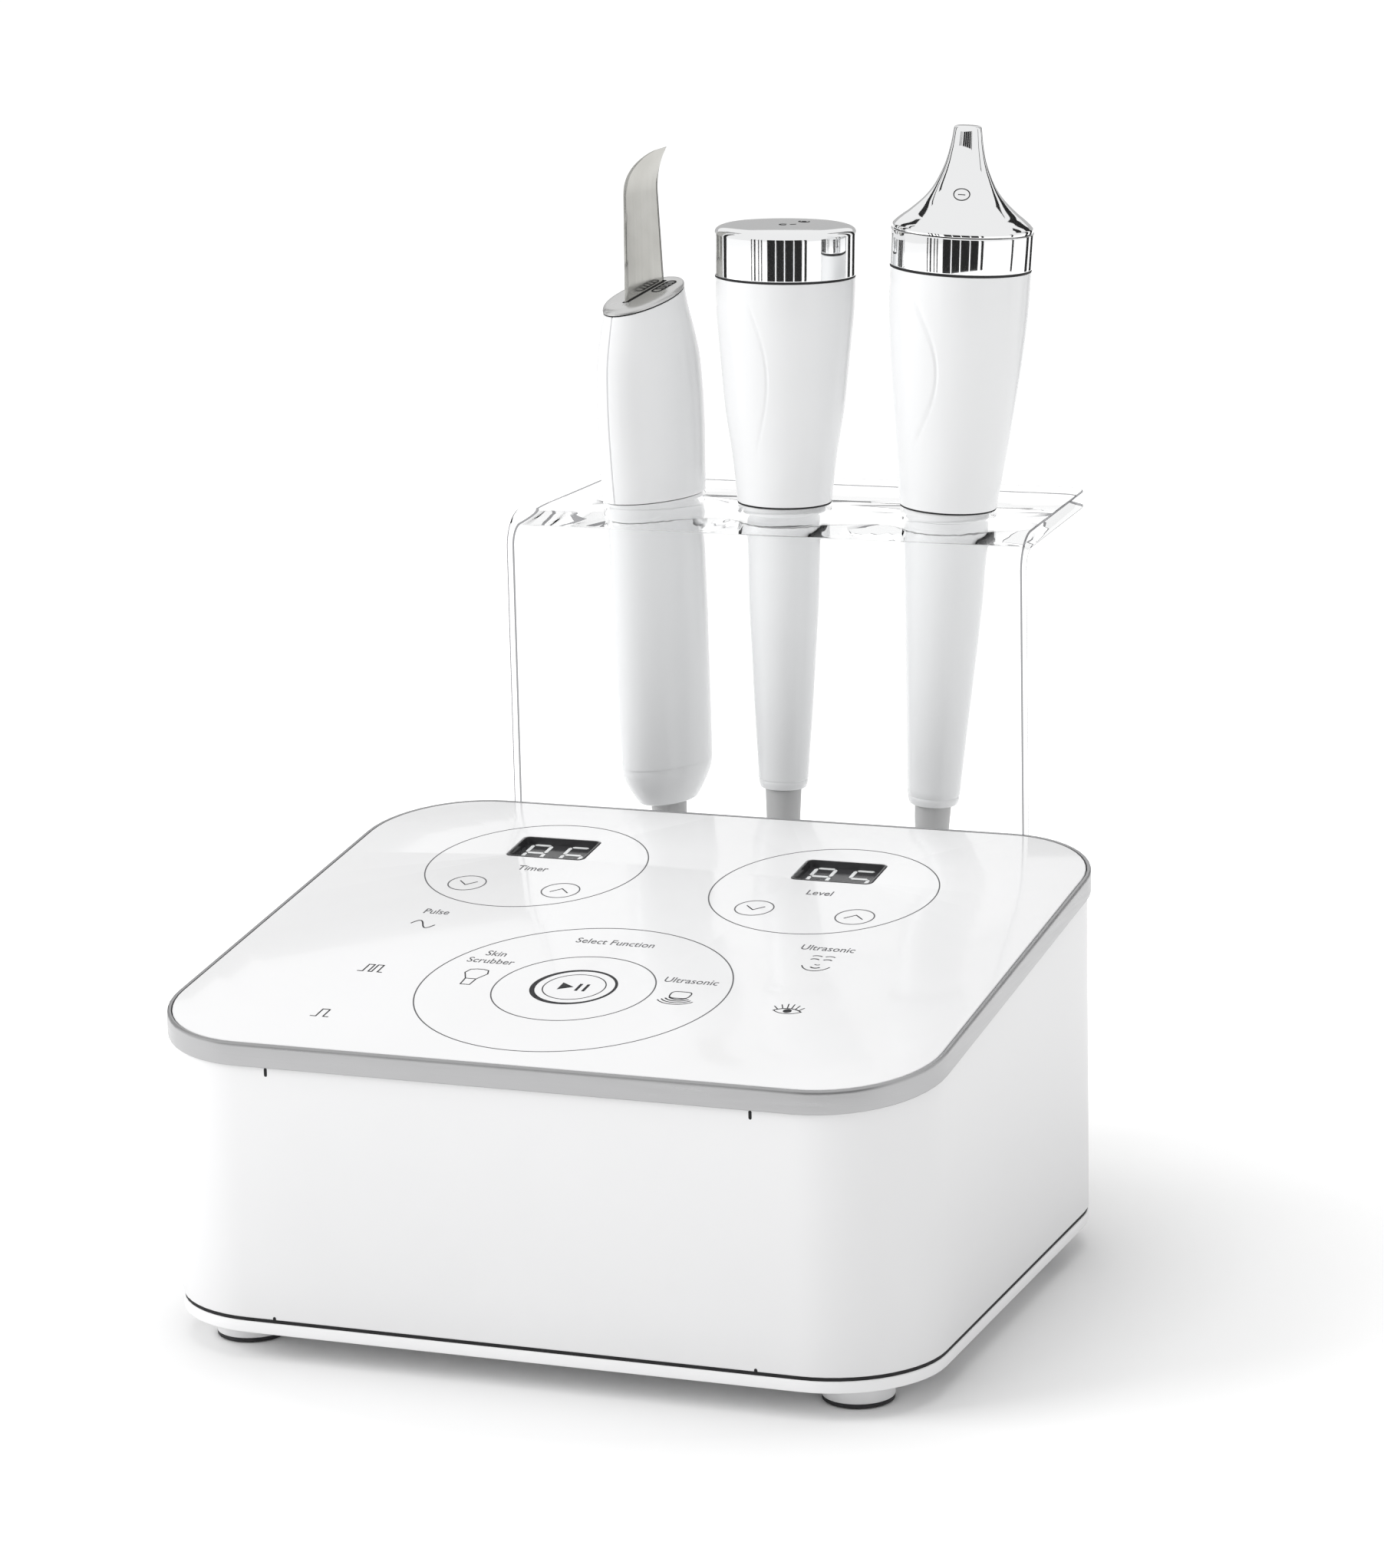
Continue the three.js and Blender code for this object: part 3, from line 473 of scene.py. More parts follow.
SHELL = moulded_plastic("shell_white", (0.785, 0.785, 0.79), 0.36)
BASE_PLATE = moulded_plastic("base_plate_white", (0.88, 0.88, 0.885), 0.36)
PANEL = moulded_plastic("panel_white", (0.86, 0.86, 0.865), 0.12, grain=600.0, relief=0.012, Coat_Weight=0.35,
                        Coat_Roughness=0.04)
HANDLE = moulded_plastic("handle_white", (0.785, 0.79, 0.795), 0.24, grain=1100.0, relief=0.03)
FOOT = moulded_plastic("foot_white", (0.82, 0.82, 0.825), 0.42)
SILVER = satin_silver("rim_silver", (0.42, 0.42, 0.425), 0.32)
BEZEL = satin_silver("bezel_silver", (0.66, 0.66, 0.655), 0.30)
CHROME = mirror_plating("chrome_plating")
BLADE = spring_steel("blade_steel")
SCREW = machine_steel("screw_steel")
CLEAR = clear_sheet("clear_sheet", (0.95, 0.954, 0.956), 1.05)
# near-black clear finish for the sheet's eased edges: painted shade, standing for the dark lines that refraction draws
# along a clear sheet's edges
CLEAR_EDGE_SHADE = clear_sheet("clear_sheet_painted_edge_shade", (0.09, 0.09, 0.095), 1.05)
RELIEF = soft_rubber("relief_grey", (0.50, 0.50, 0.50), 0.5)
PAD = soft_rubber("pad_black", (0.03, 0.03, 0.032), 0.75)
BLACK = moulded_plastic("fitting_black", (0.022, 0.022, 0.024), 0.42, grain=900.0, relief=0.12, shade=0.1)
# near-black finish for the dark rings and slots in gaps, which is painted shade for the shadow there, and for small
# printed marks on the handpieces
GAP_SHADE_AND_MARK_INK = soft_rubber("gap_shade_and_mark_black", (0.012, 0.012, 0.013), 0.8)
WINDOW = moulded_plastic("window_black", (0.040, 0.040, 0.042), 0.16, grain=400.0, relief=0.01, shade=0.15)
LIT = lit_segment("numeral_lit")
INK_GREY = printed_ink("ink_grey", (0.11, 0.11, 0.115))
INK_BLACK = printed_ink("ink_black", (0.018, 0.018, 0.02))
PIN = machine_steel("pin_plated")
PIN.node_tree.nodes["Principled BSDF"].inputs["Base Color"].default_value = (0.75, 0.58, 0.30, 1)
MARK = printed_ink("mark_white", (0.75, 0.75, 0.75))


# ------------------------------------------------------------------ pieces
def piece(name, surface, body, finish, slot, stands_for=(), crease=38.0, second=None):
    """Makes one mesh of a surface: millimetres to metres, doubled points joined, faces turned outwards, edges
    sharper than crease kept sharp. It rides on its body and stands for its CAD nodes. second is another finish and
    the faces that wear it, as 0 or 1 for each face."""
    points, faces = surface
    mesh = bpy.data.meshes.new(name)
    mesh.from_pydata((np.asarray(points) * MM).tolist(), [], faces if isinstance(faces, list) else faces.tolist())
    mesh.materials.append(finish)
    if second is not None:
        mesh.materials.append(second[0])
        mesh.polygons.foreach_set("material_index", np.asarray(second[1], np.int32))
    shape = bmesh.new()
    shape.from_mesh(mesh)
    bmesh.ops.remove_doubles(shape, verts=shape.verts, dist=2e-6)
    bmesh.ops.recalc_face_normals(shape, faces=shape.faces)
    shape.to_mesh(mesh)
    shape.free()
    mesh.shade_smooth()
    mesh.set_sharp_from_angle(angle=math.radians(crease))
    made = bpy.data.objects.new(name, mesh)
    bpy.context.scene.collection.objects.link(made)
    if stands_for:
        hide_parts(*([stands_for] if isinstance(stands_for, str) else stands_for))
    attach(made, body)
    return made


# --- body shell: rows from the lower edge up to the rim, with openings in the back wall
SOCKETS_X, FUSE_X, SWITCH_X, INLET_X, ROW_Z = (-62.0, -40.0, -18.0), 4.0, 28.0, 57.0, 33.0
ROUND_CUT, TALL_CUT = (26.9, 39.1), (22.8, 43.2)   # lower and upper edges of the openings
SHELL_LOW, SHELL_EASE = 11.15, 0.5                 # the shell's lower edge, and the ease of its corner
openings = [(x - 6.1, x + 6.1, *ROUND_CUT) for x in SOCKETS_X]
openings += [(FUSE_X - 5.3, FUSE_X + 5.3, *ROUND_CUT), (SWITCH_X - 7.2, SWITCH_X + 7.2, *TALL_CUT),
             (INLET_X - 13.7, INLET_X + 13.7, *TALL_CUT)]
stops = sorted({v for o in openings for v in o[:2]})
quarter = np.linspace(0, math.pi / 2, 5)
levels = list(zip(SHELL_LOW + SHELL_EASE * (1 - np.cos(quarter)), BODY_INSET + SHELL_EASE * (1 - np.sin(quarter))))
levels += [(z, BODY_INSET) for z in sorted({*ROUND_CUT, *TALL_CUT, 58.0})]
rows = [console_loop(i, z, stops) for z, i in levels] + [console_loop(BODY_INSET, below_panel(SEAM_DEEP), stops)]
wall_normal = outward(console_loop(BODY_INSET, 0, stops)[:, :2])
outer_grid = np.array(rows)
inner_grid = outer_grid.copy()
inner_grid[:, :, :2] -= wall_normal * WALL
inner_grid[-1, :, 2] -= 0.4
middle = (outer_grid[:-1] + outer_grid[1:]) / 2
middle = (middle + np.roll(middle, -1, 1)) / 2
at_back = middle[:, :, 1] > CONSOLE_Y + CONSOLE_HALF_Y - BODY_INSET - 0.01
open_cell = np.zeros(at_back.shape, bool)
for x0, x1, z0, z1 in openings:
    in_width = (middle[..., 0] > x0) & (middle[..., 0] < x1)
    open_cell |= at_back & in_width & (middle[..., 2] > z0) & (middle[..., 2] < z1)
piece("body_shell_skin", walled_grid(outer_grid, inner_grid, ~open_cell), "console", SHELL, "white_shell", "body_shell")

# --- dark rings in the gaps under the rim and over the bottom plate: painted shade, standing for the shadow in those gaps
lower_section = ((1.45, 10.1), (1.45, 11.35), (3.4, 11.35), (3.4, 10.1))
piece("lower_seam", ringed([console_loop(i, z) for i, z in lower_section]), "console", GAP_SHADE_AND_MARK_INK, "rubber_pad")
upper_section = ((1.5, 5.8), (1.5, 6.7), (3.4, 6.7), (3.4, 5.8))
piece("upper_seam", ringed([console_loop(i, below_panel(d)) for i, d in upper_section]), "console", GAP_SHADE_AND_MARK_INK, "rubber_pad")

# --- bottom plate with counterbored screw holes
POST_X, POST_Y = CONSOLE_HALF_X - BODY_INSET - WALL - 3.6, 45.0
posts = [(sx * POST_X, sy * POST_Y) for sy in (-1, 1) for sx in (-1, 1)]


def lying(top):
    """Places a flat drawing level, its depth going down from top."""
    return lambda u, v, d: np.stack([u, v + CONSOLE_Y, top - d], -1)


plate_loop = console_loop(BODY_INSET, 0)[:, :2] - (0, CONSOLE_Y)
screw_holes = [arc(x, y, 3.3, 360, 0, 32) for x, y in posts]
piece("bottom_plate_skin", eased_plate(plate_loop, screw_holes, 3.15, 0.45, lying(10.25)), "console", BASE_PLATE,
      "white_shell", "bottom_plate")
head = eased([(0, 7.35), (1.2, 7.35), (1.2, 8.0), (1.6, 8.0), (1.6, 7.35), (3.0, 7.35), (3.0, 8.7), (1.5, 8.7),
              (1.5, 40), (0, 40)], (0, 0, 0, 0, 0.1, 0.3, 0.1, 0, 0, 0))
for i, (x, y) in enumerate(posts):
    piece(f"case_screw_head_{i + 1}", placed(turned(head, 32), x, y + CONSOLE_Y), "console", SCREW, "bright_steel",
          f"case_screw_{i + 1}")

# --- feet and their pads
FOOT_X, FOOT_Y = 83.5, 67.5
leg = eased([(0, 1.1), (9.25, 1.1), (9.3, 2.0), (9.3, 7.2), (0, 7.2)], (0, 0.35, 0.3, 0.2, 0))
pad = eased([(0, 0), (9.1, 0), (9.25, 1.15), (0, 1.15)], (0, 0.3, 0.15, 0))
for name, sx, sy in (("front_left", -1, -1), ("front_right", 1, -1), ("rear_left", -1, 1), ("rear_right", 1, 1)):
    x, y = sx * FOOT_X, sy * FOOT_Y + CONSOLE_Y
    piece(f"foot_{name}_leg", placed(turned(leg, 72), x, y), "console", FOOT, "white_shell", f"foot_{name}")
    piece(f"foot_{name}_sole", placed(turned(pad, 72), x, y), "console", PAD, "rubber_pad", f"foot_pad_{name}")

# --- rim: one section carried round the outline, each point at its own inset and depth below the panel's plane
rim_section = eased([(0.0, RIM_DEEP), (0.0, 0.0), (1.1, 0.0), (1.1, 2.3), (6.0, 2.3), (6.0, RIM_DEEP)],
                    (0.35, 1.05, 0.12, 0.1, 0.3, 0.3), 7)
piece("top_rim_band", ringed([console_loop(i, below_panel(d)) for i, d in rim_section]), "console", SILVER,
      "silver_trim", "top_rim")

# --- touch panel with two windows
DISPLAYS = ((-46.8, 55.5), (37.6, 52.7))


def on_slope(u, v, d):
    """Lays a flat drawing on the panel's plane, its depth going down along the normal."""
    return on_panel(u, v, -d)


panel_loop = console_loop(1.4, 0)[:, :2] - (0, CONSOLE_Y)
windows = [rounded_loop(11.6, 7.6, 1.8, arc=8)[::-1] + (x, y) for x, y in DISPLAYS]
piece("touch_panel_face", eased_plate(panel_loop, windows, 2.0, 0.3, on_slope), "console", PANEL, "white_panel",
      "touch_panel")


def display_module(x, y):
    """The display's tray: an outer box under the panel, a lip flush with the panel's face, and a sunk floor."""
    levels = [(13.9, 9.9, -9.2, 0.5), (14.1, 10.1, -9.0, 0.6), (14.1, 10.1, -2.4, 0.6), (11.35, 7.35, -2.4, 1.6),
              (11.35, 7.35, -0.12, 1.6), (11.2, 7.2, -0.02, 1.5), (10.9, 6.9, -0.05, 1.3), (10.6, 6.6, -1.9, 1.1)]
    loops = []
    for half_x, half_y, rise, corner in levels:
        loop = rounded_loop(half_x, half_y, corner, arc=8)
        loops.append(on_panel(loop[:, 0] + x, loop[:, 1] + y, rise))
    return stacked(loops)


def numeral(x, y, lit, half_x=2.75, half_y=5.7, thick=1.05, gap=0.28):
    """A seven-segment numeral: each lit segment is a bar with pointed ends, kept a gap short of its corners. lit
    names segments a to g."""
    spots = {"a": ((-1, 1), (1, 1)), "b": ((1, 1), (1, 0)), "c": ((1, 0), (1, -1)), "d": ((-1, -1), (1, -1)),
             "e": ((-1, 0), (-1, -1)), "f": ((-1, 1), (-1, 0)), "g": ((-1, 0), (1, 0))}
    made = []
    for key in lit:
        (x0, y0), (x1, y1) = spots[key]
        a, b = np.array((x + x0 * half_x, y + y0 * half_y)), np.array((x + x1 * half_x, y + y1 * half_y))
        along = (b - a) / np.linalg.norm(b - a)
        side = np.array((-along[1], along[0])) * thick / 2
        a, b = a + along * gap, b - along * gap
        outline = [a, a + along * thick / 2 - side, b - along * thick / 2 - side, b, b - along * thick / 2 + side,
                   a + along * thick / 2 + side]
        made.append(patch(outline, on_panel, -1.95, -1.78))
    return merged(*made)


DIGIT_X = 5.6
for (x, y), name, first, last in zip(DISPLAYS, ("timer", "level"), ("abcefgd", "abcefgd"), ("acefg", "acdfg")):
    piece(f"{name}_display_tray", display_module(x, y), "console", WINDOW, "dark_window", f"{name}_display", 30)
    piece(f"{name}_display_numerals", merged(numeral(x - DIGIT_X, y, first), numeral(x + DIGIT_X, y, last)),
          "console", LIT, "dark_window")

# --- printing on the panel
TIMER, LEVEL, SELECT, PLAY = (-46.4, 42.2), (38.3, 38.4), (-2.6, -38.3), (-2.7, -37.5)
ARROWS = ((-60.2, 26.2, -1), (-32.5, 25.6, 1), (24.1, 23.2, -1), (52.7, 22.0, 1))  # place, and 1 for up or -1 for down
LINE, FINE_LINE = 0.36, 0.34


def printed_circle(centre, radius, width, points):
    """A closed printed circle on the panel."""
    return stroke(arc(*centre, radius, points=points), width, on_panel, closed=True)


def printed_box(x0, x1, half_y):
    """A filled upright rectangle of the play mark, between two places to the right of its centre."""
    x, y = PLAY
    return patch([(x + x0, y + half_y), (x + x0, y - half_y), (x + x1, y - half_y), (x + x1, y + half_y)], on_panel)


rings = [printed_circle(TIMER, 30.6, FINE_LINE, 128), printed_circle(LEVEL, 30.8, FINE_LINE, 128),
         printed_circle(SELECT, 41.0, LINE, 160), printed_circle(SELECT, 21.2, LINE, 128)]
rings += [printed_circle((x, y), 5.2, LINE, 64) for x, y, _ in ARROWS]
piece("panel_print_rings", merged(*rings), "console", INK_GREY, "dark_window")

PLAY_HALF = 2.3
icons = [printed_circle(PLAY, 8.2, 0.3, 96),
         patch([(PLAY[0] - 3.9, PLAY[1] + PLAY_HALF), (PLAY[0] - 3.9, PLAY[1] - PLAY_HALF), (PLAY[0] - 0.2, PLAY[1])],
               on_panel), printed_box(0.8, 1.6, PLAY_HALF), printed_box(2.8, 3.6, PLAY_HALF)]
around = np.linspace(0, TAU, 129)[:-1]
icons.append(stroke(arc(*PLAY, 10.9, points=128), 1.05 + 0.3 * np.cos(around - math.radians(200)), on_panel,
                    closed=True))
icons += [bars([(x - 2.5, y - s * 1.3), (x, y + s * 1.3), (x + 2.5, y - s * 1.3)], FINE_LINE, on_panel)
          for x, y, s in ARROWS]
# wave marks: a sine, two pulses and one pulse
run = np.linspace(0, 1, 25)
icons.append(stroke(np.stack([-63.4 + 7.0 * run, -4.2 + 2.4 * np.sin(TAU * run)], -1), 0.4, on_panel))
icons.append(bars([(-63.6, -37.9), (-62.2, -37.9), (-62.2, -33.3), (-60.6, -33.3), (-60.6, -37.9), (-59.6, -37.9),
                   (-59.6, -33.3), (-58.0, -33.3), (-58.0, -37.9), (-56.8, -37.9)], 0.4, on_panel))
icons.append(bars([(-62.9, -68.4), (-61.4, -68.4), (-61.4, -63.8), (-59.4, -63.8), (-59.4, -68.4), (-58.0, -68.4)],
                  0.4, on_panel))
# scrubber mark: a blade's head over its handle
icons.append(bars([(-34.9, -33.6), (-34.2, -31.4), (-32.6, -30.9), (-30.7, -30.9), (-29.2, -31.4), (-28.5, -33.6),
                   (-30.2, -37.3), (-33.2, -37.3), (-34.9, -33.6)], FINE_LINE, on_panel))
icons.append(bars([(-33.2, -37.3), (-33.0, -41.2), (-30.4, -41.2), (-30.2, -37.3)], FINE_LINE, on_panel))
# probe mark: a rounded head with four waves in front of it
probe_head = eased([(23.6, -35.2), (29.2, -35.2), (29.0, -39.4), (23.8, -39.4)], 1.6, 7)
icons.append(stroke(probe_head, FINE_LINE, on_panel, closed=True))
icons += [stroke(arc(26.4, -38.2 - 0.4 * k, 2.6 + 0.9 * k, 205, 335, 18, 0.75), 0.5 - 0.06 * k, on_panel)
          for k in range(4)]
# face mark: two brows, two eyes, nose, lips and jaw, each a short curve
FACE = (54.0, -9.6)
icons += [stroke(arc(FACE[0] + dx, FACE[1] + dy, r, a, b, 14, f), w, on_panel) for dx, dy, r, a, b, f, w in (
    (-1.7, 3.2, 1.5, 30, 150, 0.6, 0.34), (1.8, 3.2, 1.5, 30, 150, 0.6, 0.34), (-1.7, 1.3, 1.1, 10, 170, 0.6, 0.42),
    (1.8, 1.3, 1.1, 10, 170, 0.6, 0.42), (0.1, -1.4, 0.7, 200, 340, 0.8, 0.34), (0.1, -3.2, 1.2, 190, 350, 0.7, 0.5),
    (0.1, -0.6, 4.2, 205, 335, 1.25, 0.34))]
# eye mark: two lids, a pupil and lashes
EYE = (57.0, -42.0)
icons += [stroke(arc(EYE[0], EYE[1] - 2.6, 4.6, 35, 145, 20, 0.92), 0.42, on_panel),
          stroke(arc(EYE[0], EYE[1] + 2.6, 4.6, 215, 325, 20, 0.92), 0.3, on_panel),
          patch(arc(EYE[0], EYE[1] + 0.1, 1.15, points=24), on_panel)]
icons += [bars([(EYE[0] - 2.9 + 1.15 * k, EYE[1] + 0.9 + 0.16 * k * (5 - k)),
                (EYE[0] - 4.3 + 1.6 * k, EYE[1] + 2.6 + 0.3 * k * (5 - k))], 0.3, on_panel) for k in range(6)]
piece("panel_print_icons", merged(*icons), "console", INK_BLACK, "dark_window")


def words(text, x, y, size=4.6, stretch=0.78):
    """Printed words laid on the panel round a plan place: level 0 just under its face, level 1 just over it."""
    points, faces = lettering(text, size, stretch)
    return on_panel(points[:, 0] + x, points[:, 1] + y, -0.02 + 0.055 * (points[:, 2] + 0.5)), faces


piece("panel_print_words", merged(
    words("Timer", -46.4, 39.6), words("Level", 37.8, 36.5), words("Pulse", -59.7, 4.7),
    words("Select Function", -3.3, -7.2), words("Skin", -31.6, -20.2), words("Scrubber", -31.2, -25.2),
    words("Ultrasonic", 26.0, -28.2), words("Ultrasonic", 53.3, -0.6)), "console", INK_GREY, "dark_window")

# --- small clip notches in the shell's front, at its upper and lower edges, drawn as dark marks: painted shade for the shadow inside them
front_face = CONSOLE_Y - CONSOLE_HALF_Y + BODY_INSET


def clip_notch(x, low, high, half=0.42):
    """A slim rounded dark slot shape that lies in the front face, from one height to another: painted shade, standing
    for the shadow inside the slot.
    """
    loop = rounded_loop(half, (high - low) / 2, half, arc=6, spread=1) + (x, (low + high) / 2)
    return stacked([np.stack([loop[:, 0], np.full(len(loop), front_face + d), loop[:, 1]], -1)
                    for d in (1.2, -0.03)])


top_edge = PANEL_Z + SLOPE * (1 - CONSOLE_HALF_Y) - 6.3
notches = ((-66.6, top_edge - 2.3, top_edge), (63.9, top_edge - 2.3, top_edge), (-67.0, 11.0, 12.1), (64.0, 11.0, 12.1))
piece("notch_shade_marks", merged(*[clip_notch(*n) for n in notches]), "console", GAP_SHADE_AND_MARK_INK, "rubber_pad")

# --- back wall fittings
BACK = 48.0                             # where the fittings' flanges meet the back wall, with its gap
def knurl(a, z):
    """Depth of the socket nut's 36 flutes."""
    return 0.12 * (np.cos(36 * a) > 0) * ((z > 0.05) & (z < 1.5))


def grip_ribs(a, z):
    """Depth of the fuse cap's 24 ribs."""
    return 0.25 * (np.cos(24 * a) > 0.3) * ((z > 0.3) & (z < 3.2))


nut = eased([(0, -14), (7.0, -14), (7.2, 0), (9.0, 0), (9.0, 1.6), (7.6, 2.4), (5.3, 2.4), (5.0, 2.1), (5.0, -6.4),
             (0, -6.4)], (0, 0.4, 0, 0.1, 0.5, 0.4, 0.3, 0.1, 0.2, 0))
pin = turned(eased([(0, -7), (0.55, -7), (0.55, -1.2), (0.3, -0.9), (0, -0.9)], (0, 0, 0.2, 0.1, 0)), 16)
pins = merged(*[placed(pin, 2.6 * math.cos(a), 2.6 * math.sin(a)) for a in np.radians((0, 72, 144, 216, 288))])
for name, x in zip(("scrubber", "face_probe", "eye_probe"), SOCKETS_X):
    piece(f"{name}_socket_shell", rearward(turned(nut, 144, dent=knurl), x, BACK, ROW_Z), "console", BLACK,
          "black_plastic", f"{name}_socket", 30)
    piece(f"{name}_socket_pins", rearward(pins, x, BACK, ROW_Z), "console", PIN, "bright_steel")

cap = eased([(0, -22), (5.8, -22), (6.0, 0), (8.0, 0), (7.7, 3.8), (0, 4.0)], (0, 0.4, 0, 0.1, 0.9, 0))
piece("fuse_cap_knob", rearward(turned(cap, 144, dent=grip_ribs), FUSE_X, BACK, ROW_Z), "console", BLACK,
      "black_plastic", "fuse_cap", 30)
slot_loop = rounded_loop(4.6, 0.7, 0.5, arc=5, spread=1)
coin_slot = stacked([np.column_stack([slot_loop, np.full(len(slot_loop), z)]) for z in (3.0, 4.03)])
# the coin slot is a near-black piece: painted shade for the shadow inside the slot
piece("fuse_cap_slot", rearward(coin_slot, FUSE_X, BACK, ROW_Z), "console", GAP_SHADE_AND_MARK_INK, "black_plastic")


def tray(levels, arc_points=7):
    """A stack of rounded rectangles (half width, half height, depth towards the back, corner)."""
    loops = [(rounded_loop(a, b, r, arc=arc_points, spread=2), z) for a, b, z, r in levels]
    return stacked([np.column_stack([loop, np.full(len(loop), z)]) for loop, z in loops])


piece("power_inlet_shell", rearward(tray([
    (13.2, 9.7, -20, 1.5), (13.5, 10, -19.6, 1.8), (13.5, 10, 0, 1.8), (16.3, 12.8, 0, 2.2), (16.5, 13.0, 0.2, 2.4),
    (16.5, 13.0, 1.9, 2.4), (16.3, 12.8, 2.25, 2.3), (16.0, 12.5, 2.4, 2.2), (11.2, 7.7, 2.4, 2.6),
    (11.0, 7.5, 2.2, 2.5), (11.0, 7.5, -12.4, 2.5), (10.8, 7.3, -12.6, 2.4)]), INLET_X, BACK, ROW_Z), "console", BLACK,
    "black_plastic", "power_inlet", 30)
blade_pin = tray([(1.15, 2.3, -13, 0.3), (1.15, 2.3, -3.4, 0.3), (0.8, 1.9, -2.6, 0.3)], 4)
blade_pins = merged(*[placed(blade_pin, x, y) for x, y in ((-5.5, -1.6), (5.5, -1.6), (0, 2.0))])
piece("power_inlet_pins", rearward(blade_pins, INLET_X, BACK, ROW_Z), "console", SCREW, "bright_steel")
piece("switch_frame_shell", rearward(tray([
    (6.8, 9.8, -14, 0.8), (7.0, 10.0, -13.8, 1.0), (7.0, 10.0, 0, 1.0), (8.4, 11.4, 0, 1.6), (8.6, 11.6, 0.2, 1.8),
    (8.6, 11.6, 1.2, 1.8), (8.3, 11.3, 1.6, 1.7), (6.45, 9.45, 1.6, 0.7), (6.3, 9.3, 1.4, 0.6),
    (6.3, 9.3, -11.8, 0.6)]),
    SWITCH_X, BACK, ROW_Z), "console", BLACK, "black_plastic", "switch_frame", 30)


ROCKER_TILT, KEY_OUT = math.radians(12), 0.6


def on_rocker(across, up, out):
    """Points of the rocker: across to +X, up its face and out of it, at its resting tilt about its pivot."""
    c, s = math.cos(ROCKER_TILT), math.sin(ROCKER_TILT)
    return np.stack([SWITCH_X + across, BACK + KEY_OUT + out * c - up * s, ROW_Z + up * c + out * s], -1)


def rocker_key():
    """The rocker's key: a side outline of a shallow vee over a round heel, with its ends eased, carried across."""
    half = 8.7
    vee = flowing([(half - 0.2, 2.2), (4.3, 1.55), (0, 1.2), (-4.3, 1.55), (-half + 0.2, 2.2)], 5)
    outline = np.vstack([[(half, 0), (half, 2.2)], vee, [(-half, 2.2), (-half, 0)], arc(0, -1.74, 5.4, 180, 360, 22)])
    outline = outline[::-1]
    return stacked([on_rocker(np.full(len(outline), x), *(outline * shrink).T)
                    for x, shrink in ((-5.7, 0.97), (-5.4, 1.0), (5.4, 1.0), (5.7, 0.97))])


piece("power_rocker_key", rocker_key(), "rocker", BLACK, "black_plastic", "power_rocker", 30)


def on_key(u, v, rise):
    """Lays a mark on the rocker's face: u across, v up the face, along the shallow vee 1.2 + 0.0132 v^2."""
    u, v, rise = as_arrays(u, v, rise)
    return on_rocker(-u, v, 1.2 + 0.0132 * v ** 2 + rise)


piece("power_rocker_marks", merged(bars([(0, 6.6), (0, 3.8)], 0.6, on_key, low=-0.1, high=0.1),
                                   stroke(arc(0, -5.2, 1.5, points=32), 0.5, on_key, -0.1, 0.1, True)),
      "rocker", MARK, "black_plastic")

# --- clear holder: drawn flat as one strip, then bent back over a quarter circle into the shelf
PLATE_Y, PLATE_LOW, BEND, SHELF_REACH = 49.2, 56.0, 10.0, 80.0
HOLDER_X, HOLDER_HALF, TAPER = 2.5, 75.5, 5.5
LOW_CORNER, SHELF_CORNER = 2.0, 7.0
rise_length = SHELF_Z - BEND - PLATE_LOW
bend_end = rise_length + BEND * math.pi / 2
strip_length = bend_end + SHELF_REACH - BEND


def bent(u, v, depth):
    """Folds the flat strip: v runs up the plate's front, round the bend and along the shelf's top; depth goes to the
    back on the plate, to the bend's centre, and down under the shelf."""
    a = np.clip((v - rise_length) / BEND, 0, math.pi / 2)
    along = np.maximum(v - bend_end, 0)
    up = np.minimum(v, rise_length)
    y = PLATE_Y + BEND - (BEND - depth) * np.cos(a) + along
    z = PLATE_LOW + up + (BEND - depth) * np.sin(a)
    return np.stack([u, y, z], -1)


bend_rows = np.linspace(rise_length, bend_end, 15)
side_rows = np.concatenate([np.linspace(LOW_CORNER, rise_length, 9)[:-1], bend_rows,
                            np.linspace(bend_end, strip_length - SHELF_CORNER, 7)[1:]])
low_turn = np.radians(np.linspace(-90, 0, 5))[:-1, None]
low_right = (HOLDER_HALF - LOW_CORNER, LOW_CORNER) + LOW_CORNER * np.hstack([np.cos(low_turn), np.sin(low_turn)])


def strip_side(side, taper):
    """One side of the flat strip from low to high: straight up the plate, drawn in by taper along the shelf, and
    rounded into the back edge by the curve (1-t)^2 A + 2t(1-t) C + t^2 B. side is -1 or 1."""
    in_by = taper * np.clip((side_rows - bend_end) / (strip_length - bend_end), 0, 1)
    straight = np.column_stack([HOLDER_HALF - in_by, side_rows])
    t = np.linspace(0, 1, 9)[1:, None]
    corner = np.array([HOLDER_HALF - taper, strip_length])
    curve = (1 - t) ** 2 * straight[-1] + 2 * t * (1 - t) * corner + t ** 2 * (corner - (SHELF_CORNER, 0))
    return np.vstack([low_right, straight, curve]) * (side, 1)


strip = np.vstack([strip_side(1, TAPER), strip_side(-1, 0.0)[::-1]]) + (HOLDER_X, 0)
hole_v = bend_end + HOLE_Y - PLATE_Y - BEND


def shelf_hole(x, radius, oval=1.0, turn=0.0):
    """A clockwise loop round a hole in the shelf, an oval turned about its middle."""
    loop = arc(0, 0, radius, 360, 0, 96, oval)
    c, s = math.cos(math.radians(turn)), math.sin(math.radians(turn))
    return loop @ np.array([[c, s], [-s, c]]) + (x, hole_v)


